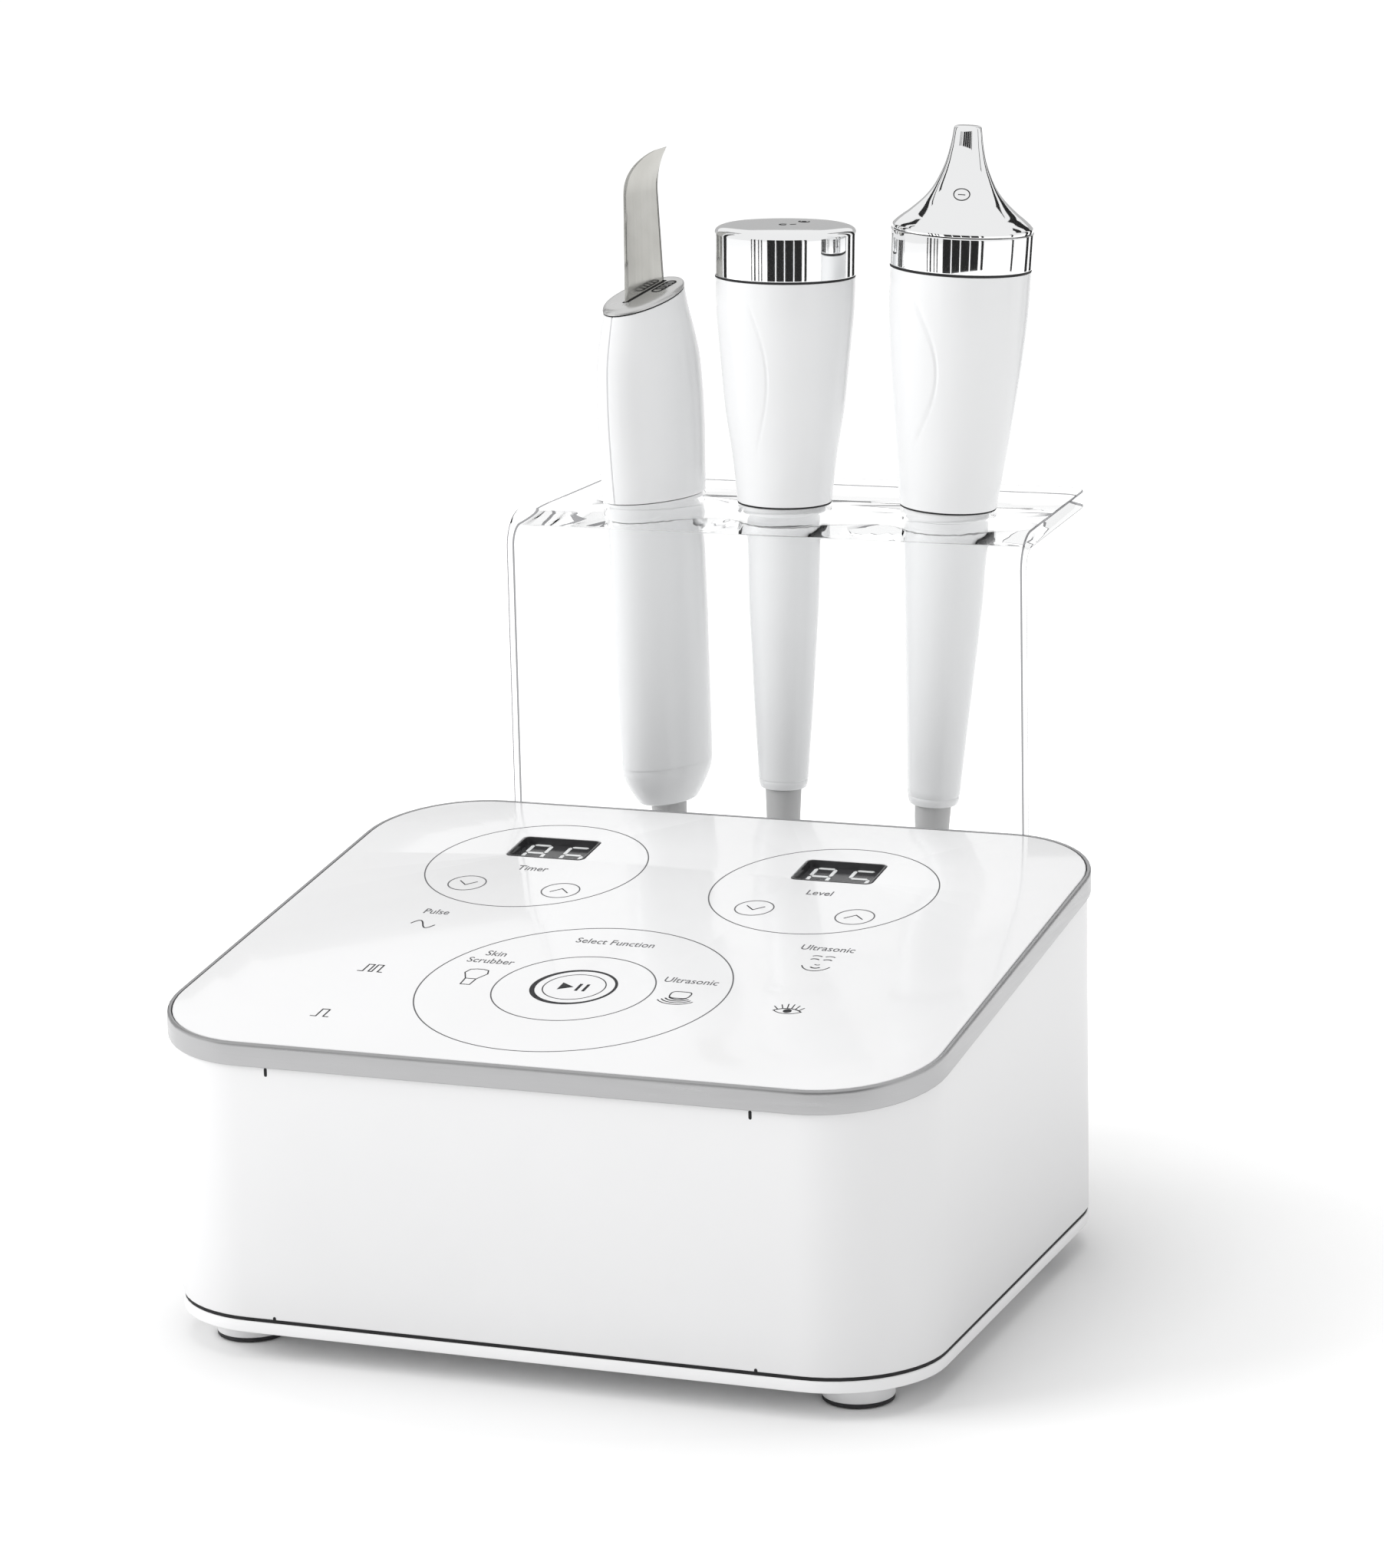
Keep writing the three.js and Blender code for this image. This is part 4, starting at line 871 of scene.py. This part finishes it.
SCRUB_X, FACE_X, EYE_X = -42.0, -2.8, 45.5
OVAL, SCRUB_TURN = 1.6, -16.0           # how much longer the scrubber's section is than wide, and how it is turned
holes = [shelf_hole(SCRUB_X, 11.35, OVAL, SCRUB_TURN), shelf_hole(FACE_X, 13.15), shelf_hole(EYE_X, 13.15)]
SCREWS = [(HOLDER_X + sx * 50, z) for z in (64.0, 94.0) for sx in (-1, 1)]
holes += [arc(x, z - PLATE_LOW, 2.3, 360, 0, 24) for x, z in SCREWS]
across = np.linspace(-HOLDER_HALF + 4, HOLDER_HALF - 4, 30) + HOLDER_X
fill = np.array([(u, v) for v in bend_rows for u in across])
sheet_surface = eased_plate(strip, holes, SHEET, EDGE, bent, fill)
# the outline's eased edges wear the near-black clear finish, painted shade for the sheet's refracted edge lines
sheet = piece("acrylic_holder_sheet", sheet_surface, "console", CLEAR, "clear_sheet", "acrylic_holder", 50,
              (CLEAR_EDGE_SHADE, eased_faces(len(strip), len(sheet_surface[1]))))
sheet.visible_shadow = sheet.visible_diffuse = False
screw = eased([(0, 0), (4.0, 0), (4.0, 1.4), (2.6, 2.55), (1.6, 2.6), (1.5, 2.5), (1.5, 1.1), (0, 1.1)],
              (0, 0.2, 0.5, 0.5, 0.05, 0.05, 0.05, 0))
screw_and_shank = merged(turned(screw, 48), turned([(0, -12.5), (1.9, -12.5), (1.9, 0.2), (0, 0.2)], 32))
for i, (x, z) in enumerate(SCREWS):
    piece(f"holder_screw_{i + 1}_cap", rearward(screw_and_shank, x, PLATE_Y + SHEET + 0.3, z), "console", SCREW,
          "bright_steel", f"holder_screw_{i + 1}")

# ------------------------------------------------------------------ handpieces
SCRUB = dict(x=SCRUB_X, y=HOLE_Y, z=SHELF_Z, lean=-1.6, turn=SCRUB_TURN, lift=0.6)
FACE_P = dict(x=FACE_X, y=HOLE_Y, z=SHELF_Z, lean=1.3, lift=0.6)
EYE_P = dict(x=EYE_X, y=HOLE_Y, z=SHELF_Z, lean=3.8, lift=1.2)
GRIP_TOP, SLANT = 56.0, math.tan(math.radians(12.5))
grip_outline = flowing([(11.6, 0.0), (11.95, 10.5), (12.15, 24.5), (11.75, 38.0), (10.6, 47.0), (9.6, 53.0),
                        (8.9, 60.0), (8.6, 70.0)], 8)


def grip_radius(z):
    """The grip's half width at a height, read off its smooth side line."""
    return np.interp(z, grip_outline[:, 1], grip_outline[:, 0])


def slanted_height(a, base, inset=0.0):
    """Height where the grip's side meets the slanted plane z = base + slope y, by repeated substitution."""
    z = np.full_like(a, base)
    for _ in range(12):
        z = base + SLANT * OVAL * (grip_radius(z) - inset) * np.sin(a)
    return z


seam_places = (math.radians(270), math.radians(90))
SEAM_HALF = 0.022                       # the groove's half width, as an angle
offsets = np.array([-0.05, -0.03, -SEAM_HALF, -0.011, 0, 0.011, SEAM_HALF, 0.03, 0.05])
grip_angles = np.sort(np.concatenate([np.linspace(0, TAU, 120, endpoint=False)]
                                     + [p + offsets for p in seam_places]))


def parting_groove(a):
    """A hairline V groove down both sides of the grip, at the two angles where its halves meet."""
    nearest = np.min([np.abs((a - p + math.pi) % TAU - math.pi) for p in seam_places], 0)
    return 0.34 * np.clip(1 - nearest / SEAM_HALF, 0, 1)


def grip_loop(share, base, inset):
    """One loop of the grip: share runs from its foot (0) to the slanted edge (1), drawn in by inset."""
    a = grip_angles
    z = share * slanted_height(a, base, inset)
    r = grip_radius(z) - inset - parting_groove(a) * (inset < 1)
    return np.stack([r * np.cos(a), OVAL * r * np.sin(a), z], -1)


loops = [grip_loop(0, GRIP_TOP, 2.2), grip_loop(0, GRIP_TOP, 0.5)]
for q in quarter:
    foot = grip_loop(0, GRIP_TOP, 0.5 * (1 - math.sin(q)))
    loops.append(foot + (0, 0, 0.5 * (1 - math.cos(q))))
loops += [grip_loop(share, GRIP_TOP, 0) for share in np.linspace(0.03, 0.985, 34)]
loops += [grip_loop(1, GRIP_TOP - 0.1 + 0.1 * math.sin(q), 0.35 * (1 - math.cos(q))) for q in quarter[1:]]
loops += [grip_loop(1, GRIP_TOP, 2.2), grip_loop(0.5, GRIP_TOP, 2.4)]
piece("scrubber_grip_shell", placed(ringed(loops), **SCRUB), "scrubber", HANDLE, "white_handpiece", "scrubber_grip", 32)


def slanted_oval(scale, rise):
    """A loop of the grip's slanted top, scaled about its middle and lifted straight up."""
    a = np.linspace(0, TAU, 96, endpoint=False)
    r = grip_radius(slanted_height(a, GRIP_TOP))
    x, y = scale * r * np.cos(a), scale * OVAL * r * np.sin(a)
    return np.stack([x, y, GRIP_TOP + SLANT * y + rise], -1)


# a dark band under the slanted bezel: painted shade, standing for the shadow in the gap under its edge
piece("scrubber_bezel_gap_shade", placed(stacked([slanted_oval(0.985, -0.3), slanted_oval(0.985, 0.35)]), **SCRUB),
      "scrubber", GAP_SHADE_AND_MARK_INK, "rubber_pad")
bezel_levels = [(0.985, 0.3), (1.0, 0.42), (1.0, 0.8), (0.985, 1.25), (0.955, 1.6), (0.90, 1.85), (0.80, 1.95),
                (0.5, 1.98)]
piece("scrubber_bezel_plate", placed(stacked([slanted_oval(s, h) for s, h in bezel_levels]), **SCRUB), "scrubber",
      BEZEL, "silver_trim", "scrubber_bezel")


def on_bezel(x, y, rise):
    """Lays a mark on the slanted plate, by plan place."""
    x, y, rise = as_arrays(x, y, rise)
    return np.stack([x, y, GRIP_TOP + 1.96 + SLANT * y + rise], -1)


mark_loop = rounded_loop(1.5, 4.4, 1.3, arc=7) + (3.4, 4.6)
marks = [stroke(mark_loop, 0.55, on_bezel, -0.1, 0.1, True)]
marks += [bars([(2.4, y), (4.4, y + 0.5)], 0.6, on_bezel, low=-0.1, high=0.1) for y in (2.2, 3.8, 5.4, 7.0)]
marks += [patch(rounded_loop(0.95, 9.5, 0.5, arc=4), on_bezel, -0.1, 0.05)]
piece("scrubber_bezel_marks", placed(merged(*marks), **SCRUB), "scrubber", GAP_SHADE_AND_MARK_INK, "rubber_pad")
dimple = stroke(arc(1.1, -10.2, 0.9, points=32), 0.3, on_bezel, -0.05, 0.12, True)
piece("scrubber_bezel_dimple", placed(dimple, **SCRUB), "scrubber", BEZEL, "silver_trim")


def blade_strip():
    """The spatula blade. Its half width falls from 9.2 at its foot to 7.8 at the bend, and its front edge then
    rounds off by 15(1 - sqrt(1 - t^2.6)). It stands upright, tips by 0.012 over the grip, and bends towards +X by a
    parabola over its last stretch. The two faces lie a thin wedge apart, with an edge between them."""
    foot, over_grip, bend, top = 40.0, 58.0, 86.0, 98.0
    v = np.concatenate([np.linspace(foot, bend, 24), np.linspace(bend, top, 22)[1:]])[:, None]
    share = np.linspace(-1, 1, 25)[None]
    round_off = np.clip((v - bend) / (top - bend), 0, 1)
    rear = np.interp(v, (foot, GRIP_TOP, bend, top), (9.2, 9.2, 7.8, 7.2))
    front = np.where(v < bend, rear, 7.8 - 15.0 * (1 - np.sqrt(np.clip(1 - round_off ** 2.6, 0, 1))))
    y = (rear - front) / 2 + share * (rear + front) / 2
    past = np.maximum(v - bend, 0)
    x, z = as_arrays(0.012 * np.maximum(v - over_grip, 0) + 0.025 * past ** 2 + 0.05 * past, v, y)[:2]
    wedge = 0.3 * np.minimum(1, (top + 0.6 - v) / 1.5) * np.clip((1 - np.abs(share)) / 0.06, 0.15, 1)
    rows, columns = y.shape
    count = rows * columns
    number = np.arange(count).reshape(rows, columns)
    border = np.concatenate([number[0, :-1], number[:-1, -1], number[-1, :0:-1], number[:0:-1, 0]])
    after = np.roll(border, -1)
    face = grid_faces(rows, columns, False, False)
    points = np.vstack([np.stack([x + side * wedge, y, z], -1).reshape(-1, 3) for side in (1, -1)])
    edge = np.stack([border, after, after + count, border + count], -1)
    return points, np.vstack([face, face[:, ::-1] + count, edge])


piece("scrubber_blade_strip", placed(blade_strip(), **SCRUB), "scrubber", BLADE, "bright_steel", "scrubber_blade", 50)
barrel_side = flowing([(10.88, -0.3), (10.9, -3), (10.9, -12), (10.85, -45), (10.5, -74), (10.42, -76.1)], 8)
barrel = np.vstack([[(8.7, -0.3)], barrel_side, [(8.2, -76.1), (8.7, -0.3)]])
piece("scrubber_barrel_tube", placed(turned(barrel, 128, OVAL), **SCRUB), "scrubber", HANDLE, "white_handpiece",
      "scrubber_barrel", 32)
end_cap = eased([(8.0, -76.2), (10.35, -76.2), (10.25, -79.3), (8.4, -84.4), (6.4, -88.3), (0, -88.3), (0, -84),
                 (6.2, -84), (8, -78.5)], (0, 0.25, 2.2, 2.5, 0.9, 0, 0, 0, 0), 8)
piece("scrubber_end_cap_cone", placed(turned(end_cap, 128, OVAL), **SCRUB), "scrubber", HANDLE, "white_handpiece",
      "scrubber_end_cap", 32)


def strain_relief(top, length=30):
    """A tapered sleeve with five shallow flex grooves near its lower end, and a blind hole for the lead."""
    low = top - length
    z = np.linspace(top - 0.1, low + 1.2, 60)
    r = np.interp(top - z, (0, 10, 29), (5.1, 4.7, 3.65))
    wave = 0.35 * (0.5 + 0.5 * np.cos(TAU * (top - z) / 3.1)) * np.clip((top - z - 12.5) / 2, 0, 1)
    side = np.stack([r - wave, z], -1)
    return np.vstack([[(0, top - 0.05), (4.9, top - 0.05)], side,
                      [(3.3, low), (2.5, low), (2.3, low + 0.3), (2.3, low + 6), (0, low + 6)]])


for name, place, top in (("scrubber", SCRUB, -88.5), ("face_probe", FACE_P, -82.5), ("eye_probe", EYE_P, -85.3)):
    piece(f"{name}_relief_sleeve", placed(turned(strain_relief(top), 56), **place), name, RELIEF, "grey_rubber",
          f"{name}_strain_relief", 50)


def crescent(a, z, centre, low, high, width, depth):
    """Depth of a long crescent groove: its middle angle swings by width between its ends, and it fades there."""
    t = np.clip((z - low) / (high - low), 0, 1)
    middle_angle = centre + width * np.sin(math.pi * t)
    off = np.abs((a - middle_angle + math.pi) % TAU - math.pi)
    fade = np.clip(np.minimum(t, 1 - t) / 0.12, 0, 1)
    return depth * fade * np.clip(1 - off / 0.035, 0, 1) * ((z > low) & (z < high))


GROOVE_SIDE = math.radians(-90 + 22)    # the side of the probes that carries the long grooves
fine_angles = np.sort(np.unique(np.concatenate([np.linspace(0, TAU, 180, endpoint=False),
                                                GROOVE_SIDE + np.linspace(-0.95, 0.75, 170)]) % TAU))
COLLAR = eased([(8.4, -0.3), (12.5, -0.3), (12.7, -0.6), (12.45, -5.3), (12.3, -5.5), (8.4, -5.5)],
               (0, 0.2, 0.3, 0.3, 0.1, 0))


def seam_ring(inner, low_outer, high_outer, low, high):
    """A dark ring between two mouldings, its outer face slightly coned: painted shade, standing for the shadow in the
    joint.
    """
    return turned([(inner, low), (low_outer, low), (high_outer, high), (inner, high)], 96)


def probe_mouldings(name, place, side, top, inner, groove, seam, lower_seam, tube, tube_rim, tube_inner):
    """A probe's white body with its crescent groove, the dark seam over it, its collar, the dark seam under the body,
    and its tube; the two dark seams are painted shade for the joints. side and tube are smooth outer lines, each closed
    by its own inner line."""
    def of_probe(part, surface, *look):
        piece(f"{name}_{part}", placed(surface, **place), name, *look)

    body = np.vstack([top, flowing(side, 10), inner])
    white = (HANDLE, "white_handpiece")
    of_probe("body_shell", turned(body, angles=fine_angles, dent=groove), *white, f"{name}_body", 32)
    of_probe("upper_seam", seam_ring(15.4, *seam), GAP_SHADE_AND_MARK_INK, "rubber_pad")
    of_probe("collar_ring", turned(COLLAR, 96), *white, f"{name}_collar")
    of_probe("lower_seam", seam_ring(10.5, *lower_seam, -0.35, 0.12), GAP_SHADE_AND_MARK_INK, "rubber_pad")
    rim = eased([*tube_rim, tube_inner[0]], (0.6, 0.6, 0, 0), 5)
    sleeve = np.vstack([flowing(tube, 8), rim, tube_inner[1:]])
    of_probe("tube_shell", turned(sleeve, 112), *white, f"{name}_tube", 32)


# --- face probe
face_head = eased([(0, 78.15), (11, 78.0), (18.2, 77.5), (19.9, 76.3), (19.9, 64.05), (17.7, 64.05), (17.7, 74.5),
                   (0, 74.5)], (0, 4, 2.0, 1.1, 0.25, 0.1, 0, 0), 8)
piece("face_probe_head_cup", placed(turned(face_head, 144), **FACE_P), "face_probe", CHROME, "chrome_plate",
      "face_probe_head", 40)
probe_mouldings(
    "face_probe", FACE_P, top=[(17.2, 63.6), (19.3, 63.6)],
    side=[(19.55, 63.35), (19.3, 54.0), (18.1, 40.4), (16.8, 26.7), (14.8, 13.4), (13.5, 2.0), (13.3, 0.3)],
    inner=[(13.1, 0.0), (10.4, 0.0), (12.4, 13), (14.4, 27), (15.2, 63), (15.2, 69), (17.2, 69)],
    groove=lambda a, z: crescent(a, z, GROOVE_SIDE - 0.62, 14, 59, 0.30, 0.18),
    seam=(19.6, 19.7, 63.4, 64.15), lower_seam=(13.2, 13.25),
    tube=[(10.4, -5.75), (10.35, -9), (9.85, -29), (9.1, -43), (8.4, -57), (7.5, -71.5), (7.05, -79.5)],
    tube_rim=[(7.0, -80.4), (6.4, -82.3), (5.6, -82.3)], tube_inner=[(5.6, -76), (6.6, -57), (8, -29), (8.4, -5.8)])

# --- eye probe
bell = flowing([(19.3, 78.1), (18.2, 79.2), (16.6, 80.5), (14.9, 81.8), (11.5, 84.9), (9.0, 88.0), (7.2, 91.4),
                (5.7, 95.2), (4.75, 99.0), (4.35, 101.2), (3.95, 104.1)], 7)
tip_edge = eased([(3.95, 104.1), (3.7, 105.25), (0, 105.5)], (0, 0.7, 0), 6).reshape(3, 6, 2)[1]
bell_profile = np.vstack([[(0, 88), (6, 87), (12.5, 80), (16.5, 77.15), (19.35, 77.15), (19.4, 77.6)], bell, tip_edge,
                          [(0, 105.45)]])
piece("eye_probe_tip_bell", placed(turned(bell_profile, 160), **EYE_P), "eye_probe", CHROME, "chrome_plate",
      "eye_probe_tip", 40)
band = eased([(17.7, 67.0), (19.7, 67.0), (19.7, 76.9), (17.7, 76.9)], (0.1, 0.3, 0.45, 0.1))
piece("eye_probe_ring_band", placed(turned(band, 144), **EYE_P), "eye_probe", CHROME, "chrome_plate", "eye_probe_ring")
probe_mouldings(
    "eye_probe", EYE_P, top=[(17.2, 66.55), (19.25, 66.55)],
    side=[(19.45, 66.35), (19.2, 54.0), (18.3, 41.0), (16.9, 27.3), (15.4, 14.2), (13.9, 3.0), (13.55, 0.3)],
    inner=[(13.3, 0.0), (10.6, 0.0), (12.9, 14), (14.5, 28), (15.2, 66), (15.2, 70.9), (17.2, 70.9)],
    groove=lambda a, z: crescent(a, z, GROOVE_SIDE - 0.86, 16, 62, 0.50, 0.32),
    seam=(19.5, 19.55, 66.3, 67.1), lower_seam=(13.35, 13.4),
    tube=[(11.85, -5.75), (11.6, -12), (10.9, -27), (10, -41), (9.05, -55), (8.1, -69.5), (7.35, -82.2)],
    tube_rim=[(7.3, -83.2), (6.7, -85.1), (5.6, -85.1)], tube_inner=[(5.6, -79), (7.2, -55), (8.2, -27), (8.4, -5.8)])

# --- small plain marks on the polished heads
bell_line = bell[np.argsort(bell[:, 1])]


def on_bell(u, v, rise):
    """Lays a mark on the bell's side, round its front: u along the girth, v up the sloping side, whose normal has the
    parts out and up."""
    u, v, rise = as_arrays(u, v, rise)
    out, up = 0.75, 0.66
    z = 87.6 + up * v
    r = np.interp(z, bell_line[:, 1], bell_line[:, 0])
    a = math.radians(-90 + 13) + u / r
    return np.stack([(r + rise * out) * np.cos(a), (r + rise * out) * np.sin(a), z + rise * up], -1)


bell_mark = merged(stroke(arc(0, 0, 2.2, points=48), 0.3, on_bell, -0.12, 0.07, True),
                   bars([(-0.9, -0.1), (0.9, -0.1)], 0.3, on_bell, low=-0.08, high=0.07))
piece("eye_probe_tip_mark", placed(bell_mark, **EYE_P), "eye_probe", GAP_SHADE_AND_MARK_INK, "dark_window")


def on_head(u, v, rise):
    """Lays a mark on the face probe's top, which falls by 0.0009 r^2 from its middle."""
    u, v, rise = as_arrays(u, v, rise)
    return np.stack([u, v, 78.13 - 0.0009 * (u ** 2 + v ** 2) + rise], -1)


head_mark = merged(stroke(arc(3.6, 5.2, 1.5, 150, 400, 28), 0.3, on_head, -0.12, 0.05),
                   stroke(arc(3.6, 5.2, 0.6, points=20), 0.25, on_head, -0.12, 0.05, True),
                   stroke(arc(0.6, -3.4, 1.1, 60, 330, 28), 0.3, on_head, -0.12, 0.05),
                   bars([(2.4, -2.6), (3.6, -1.6)], 0.3, on_head, low=-0.12, high=0.05))
piece("face_probe_head_mark", placed(head_mark, **FACE_P), "face_probe", GAP_SHADE_AND_MARK_INK, "dark_window")

# --- inner parts keep their CAD shapes
for node, finish in (("control_board", FOOT), ("main_board", FOOT), ("driver_board", FOOT), ("mains_transformer", PIN),
                     ("heat_sink", SCREW), ("buzzer", BLACK), ("scrubber_transducer", SCREW),
                     ("face_probe_transducer", SCREW), ("eye_probe_transducer", SCREW)):
    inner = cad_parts[node]
    inner.data.materials.clear()
    inner.data.materials.append(finish)

# ------------------------------------------------------------------ floor, light and camera
def staged(name, points, faces, look):
    """A mesh that is part of the studio, not of the unit. Lengths are in metres."""
    mesh = bpy.data.meshes.new(name)
    mesh.from_pydata(points, [], faces)
    mesh.materials.append(look)
    made = bpy.data.objects.new(name, mesh)
    bpy.context.scene.collection.objects.link(made)
    return made


# the floor glows more with its distance from the unit, so that it stays pale round a close soft shadow; the glow is
# left out next to the unit, which is painted shade that deepens the real shadow there
FLOOR_REACH, FLOOR_Z = 14.0, -0.0002
GLOW, GLOW_STARTS, GLOW_FULL = 0.46, 0.12, 0.31
floor_look, floor_tree, floor_shader = finish_base("floor_pale", (0.93, 0.93, 0.93), 0.9, Specular_IOR_Level=0.0)
floor_shader.inputs["Emission Color"].default_value = (1, 1, 1, 1)
floor_place, distance = (floor_tree.nodes.new(kind) for kind in ("ShaderNodeTexCoord", "ShaderNodeVectorMath"))
distance.operation = "LENGTH"
floor_tree.links.new(floor_place.outputs["Object"], distance.inputs[0])
glow = spread(floor_tree, distance.outputs["Value"], 0.0, GLOW, (GLOW_STARTS + GLOW_FULL) / 2,
              (GLOW_FULL - GLOW_STARTS) / 2)
floor_tree.links.new(glow, floor_shader.inputs["Emission Strength"])
floor = staged("floor", [(sx * FLOOR_REACH, sy * FLOOR_REACH, FLOOR_Z)
                         for sx, sy in ((-1, -1), (1, -1), (1, 1), (-1, 1))], [(0, 1, 2, 3)], floor_look)
floor.location = (0, CONSOLE_Y * MM, 0)

# how bright the pale room is: as light, in reflections, through clear plastic, and to the eye
AMBIENT, MIRRORED, SEEN_THROUGH, SEEN = 0.61, 0.90, 1.0, 1.0


def studio_world():
    """A pale room: plain white to the eye and through clear plastic, a little softer in reflections, and softer
    still as light."""
    world = bpy.data.worlds.new("studio")
    bpy.context.scene.world = world
    world.use_nodes = True
    tree = world.node_tree
    tree.nodes.clear()
    path, output = tree.nodes.new("ShaderNodeLightPath"), tree.nodes.new("ShaderNodeOutputWorld")
    glow = tree.nodes.new("ShaderNodeBackground")
    glow.inputs["Color"].default_value = (1, 1, 1, 1)
    glow.inputs["Strength"].default_value = AMBIENT
    shader = glow.outputs["Background"]
    for ray, strength in (("Is Glossy Ray", MIRRORED), ("Is Transmission Ray", SEEN_THROUGH), ("Is Camera Ray", SEEN)):
        other, choose = tree.nodes.new("ShaderNodeBackground"), tree.nodes.new("ShaderNodeMixShader")
        other.inputs["Color"].default_value = (1, 1, 1, 1)
        other.inputs["Strength"].default_value = strength
        tree.links.new(path.outputs[ray], choose.inputs["Fac"])
        tree.links.new(shader, choose.inputs[1])
        tree.links.new(other.outputs["Background"], choose.inputs[2])
        shader = choose.outputs["Shader"]
    tree.links.new(shader, output.inputs["Surface"])


studio_world()


def soft_light(name, at, towards, size, power):
    """A square soft box at a place in metres, facing a point."""
    data = bpy.data.lights.new(name, "AREA")
    data.shape, data.size, data.energy = "SQUARE", size, power
    lamp = bpy.data.objects.new(name, data)
    bpy.context.scene.collection.objects.link(lamp)
    away = Vector(at) - Vector(towards)
    lamp.matrix_world = Matrix.Translation(at) @ away.to_track_quat("Z", "Y").to_matrix().to_4x4()
    lamp.visible_glossy = False


AIM = (0, 0, 0.1)
soft_light("key_left", (-1.9, -1.1, 1.35), AIM, 1.4, 29)
soft_light("top_fill", (0.0, 0.1, 2.1), AIM, 1.8, 13)

CARD_CENTRE, CARD_RADIUS, CARD_TURN = (0.02, 0.085), 0.9, 19.5


def upright_cards(name, tone, strips):
    """Upright cards of one even tone on a circle round the handpieces, which only polished faces can see. Each strip
    is its first and last bearing, and its lower and upper height in metres. A bearing is in degrees, anticlockwise
    from the line that lies CARD_TURN to the right of the front."""
    look, _, shader = finish_base(name, (0.004, 0.004, 0.004), 0.9)
    shader.inputs["Emission Color"].default_value = (1, 1, 1, 1)
    shader.inputs["Emission Strength"].default_value = tone
    made = []
    for start, end, low, high in strips:
        bearing = np.radians(np.linspace(start, end, 3) + CARD_TURN)
        x, y = CARD_CENTRE[0] + CARD_RADIUS * np.sin(bearing), CARD_CENTRE[1] - CARD_RADIUS * np.cos(bearing)
        made.append((np.vstack([np.stack([x, y, np.full(3, z)], -1) for z in (low, high)]),
                     grid_faces(2, 3, False, False)))
    points, faces = merged(*made)
    cards = staged(name, points.tolist(), faces, look)
    cards.visible_camera = cards.visible_diffuse = cards.visible_transmission = cards.visible_shadow = False


upright_cards("dark_cards", 0.0, [(start, end, 0.001, high) for start, end, high in (
    (-146, -137, 1.3), (-131, -128, 1.3), (-117, -108, 1.0), (-57, -55, 0.5), (-52, -49, 0.5), (-45, -43, 0.5),
    (-40, -38, 0.5), (-30, -17, 0.5), (-15.5, -3, 0.5), (-1.5, 12, 0.5), (13.5, 26, 0.5), (30, 34, 0.5), (84, 88, 0.6),
    (121, 130, 1.0), (138, 150, 1.3))])
upright_cards("back_card", 0.48, [(148, 212, 0.28, 0.50)])

CAMERA_AT = (0.4806, -1.2242, 0.4246)
camera_data = bpy.data.cameras.new("camera")
camera_data.lens, camera_data.sensor_width = 115.31, 36.0
camera_data.clip_end = 60.0
camera = bpy.data.objects.new("camera", camera_data)
bpy.context.scene.collection.objects.link(camera)
yaw, pitch, roll = (math.radians(v) for v in (21.413, 12.728, -1.321))
forward = np.array([-math.sin(yaw) * math.cos(pitch), math.cos(yaw) * math.cos(pitch), -math.sin(pitch)])
level = np.array([math.cos(yaw), math.sin(yaw), 0.0])
upright = np.cross(level, forward)
right_axis = level * math.cos(roll) + upright * math.sin(roll)
up_axis = -level * math.sin(roll) + upright * math.cos(roll)
camera.matrix_world = Matrix([*zip(right_axis, up_axis, -forward, CAMERA_AT), (0, 0, 0, 1)])
bpy.context.scene.camera = camera
bpy.context.scene.view_settings.view_transform = "Standard"
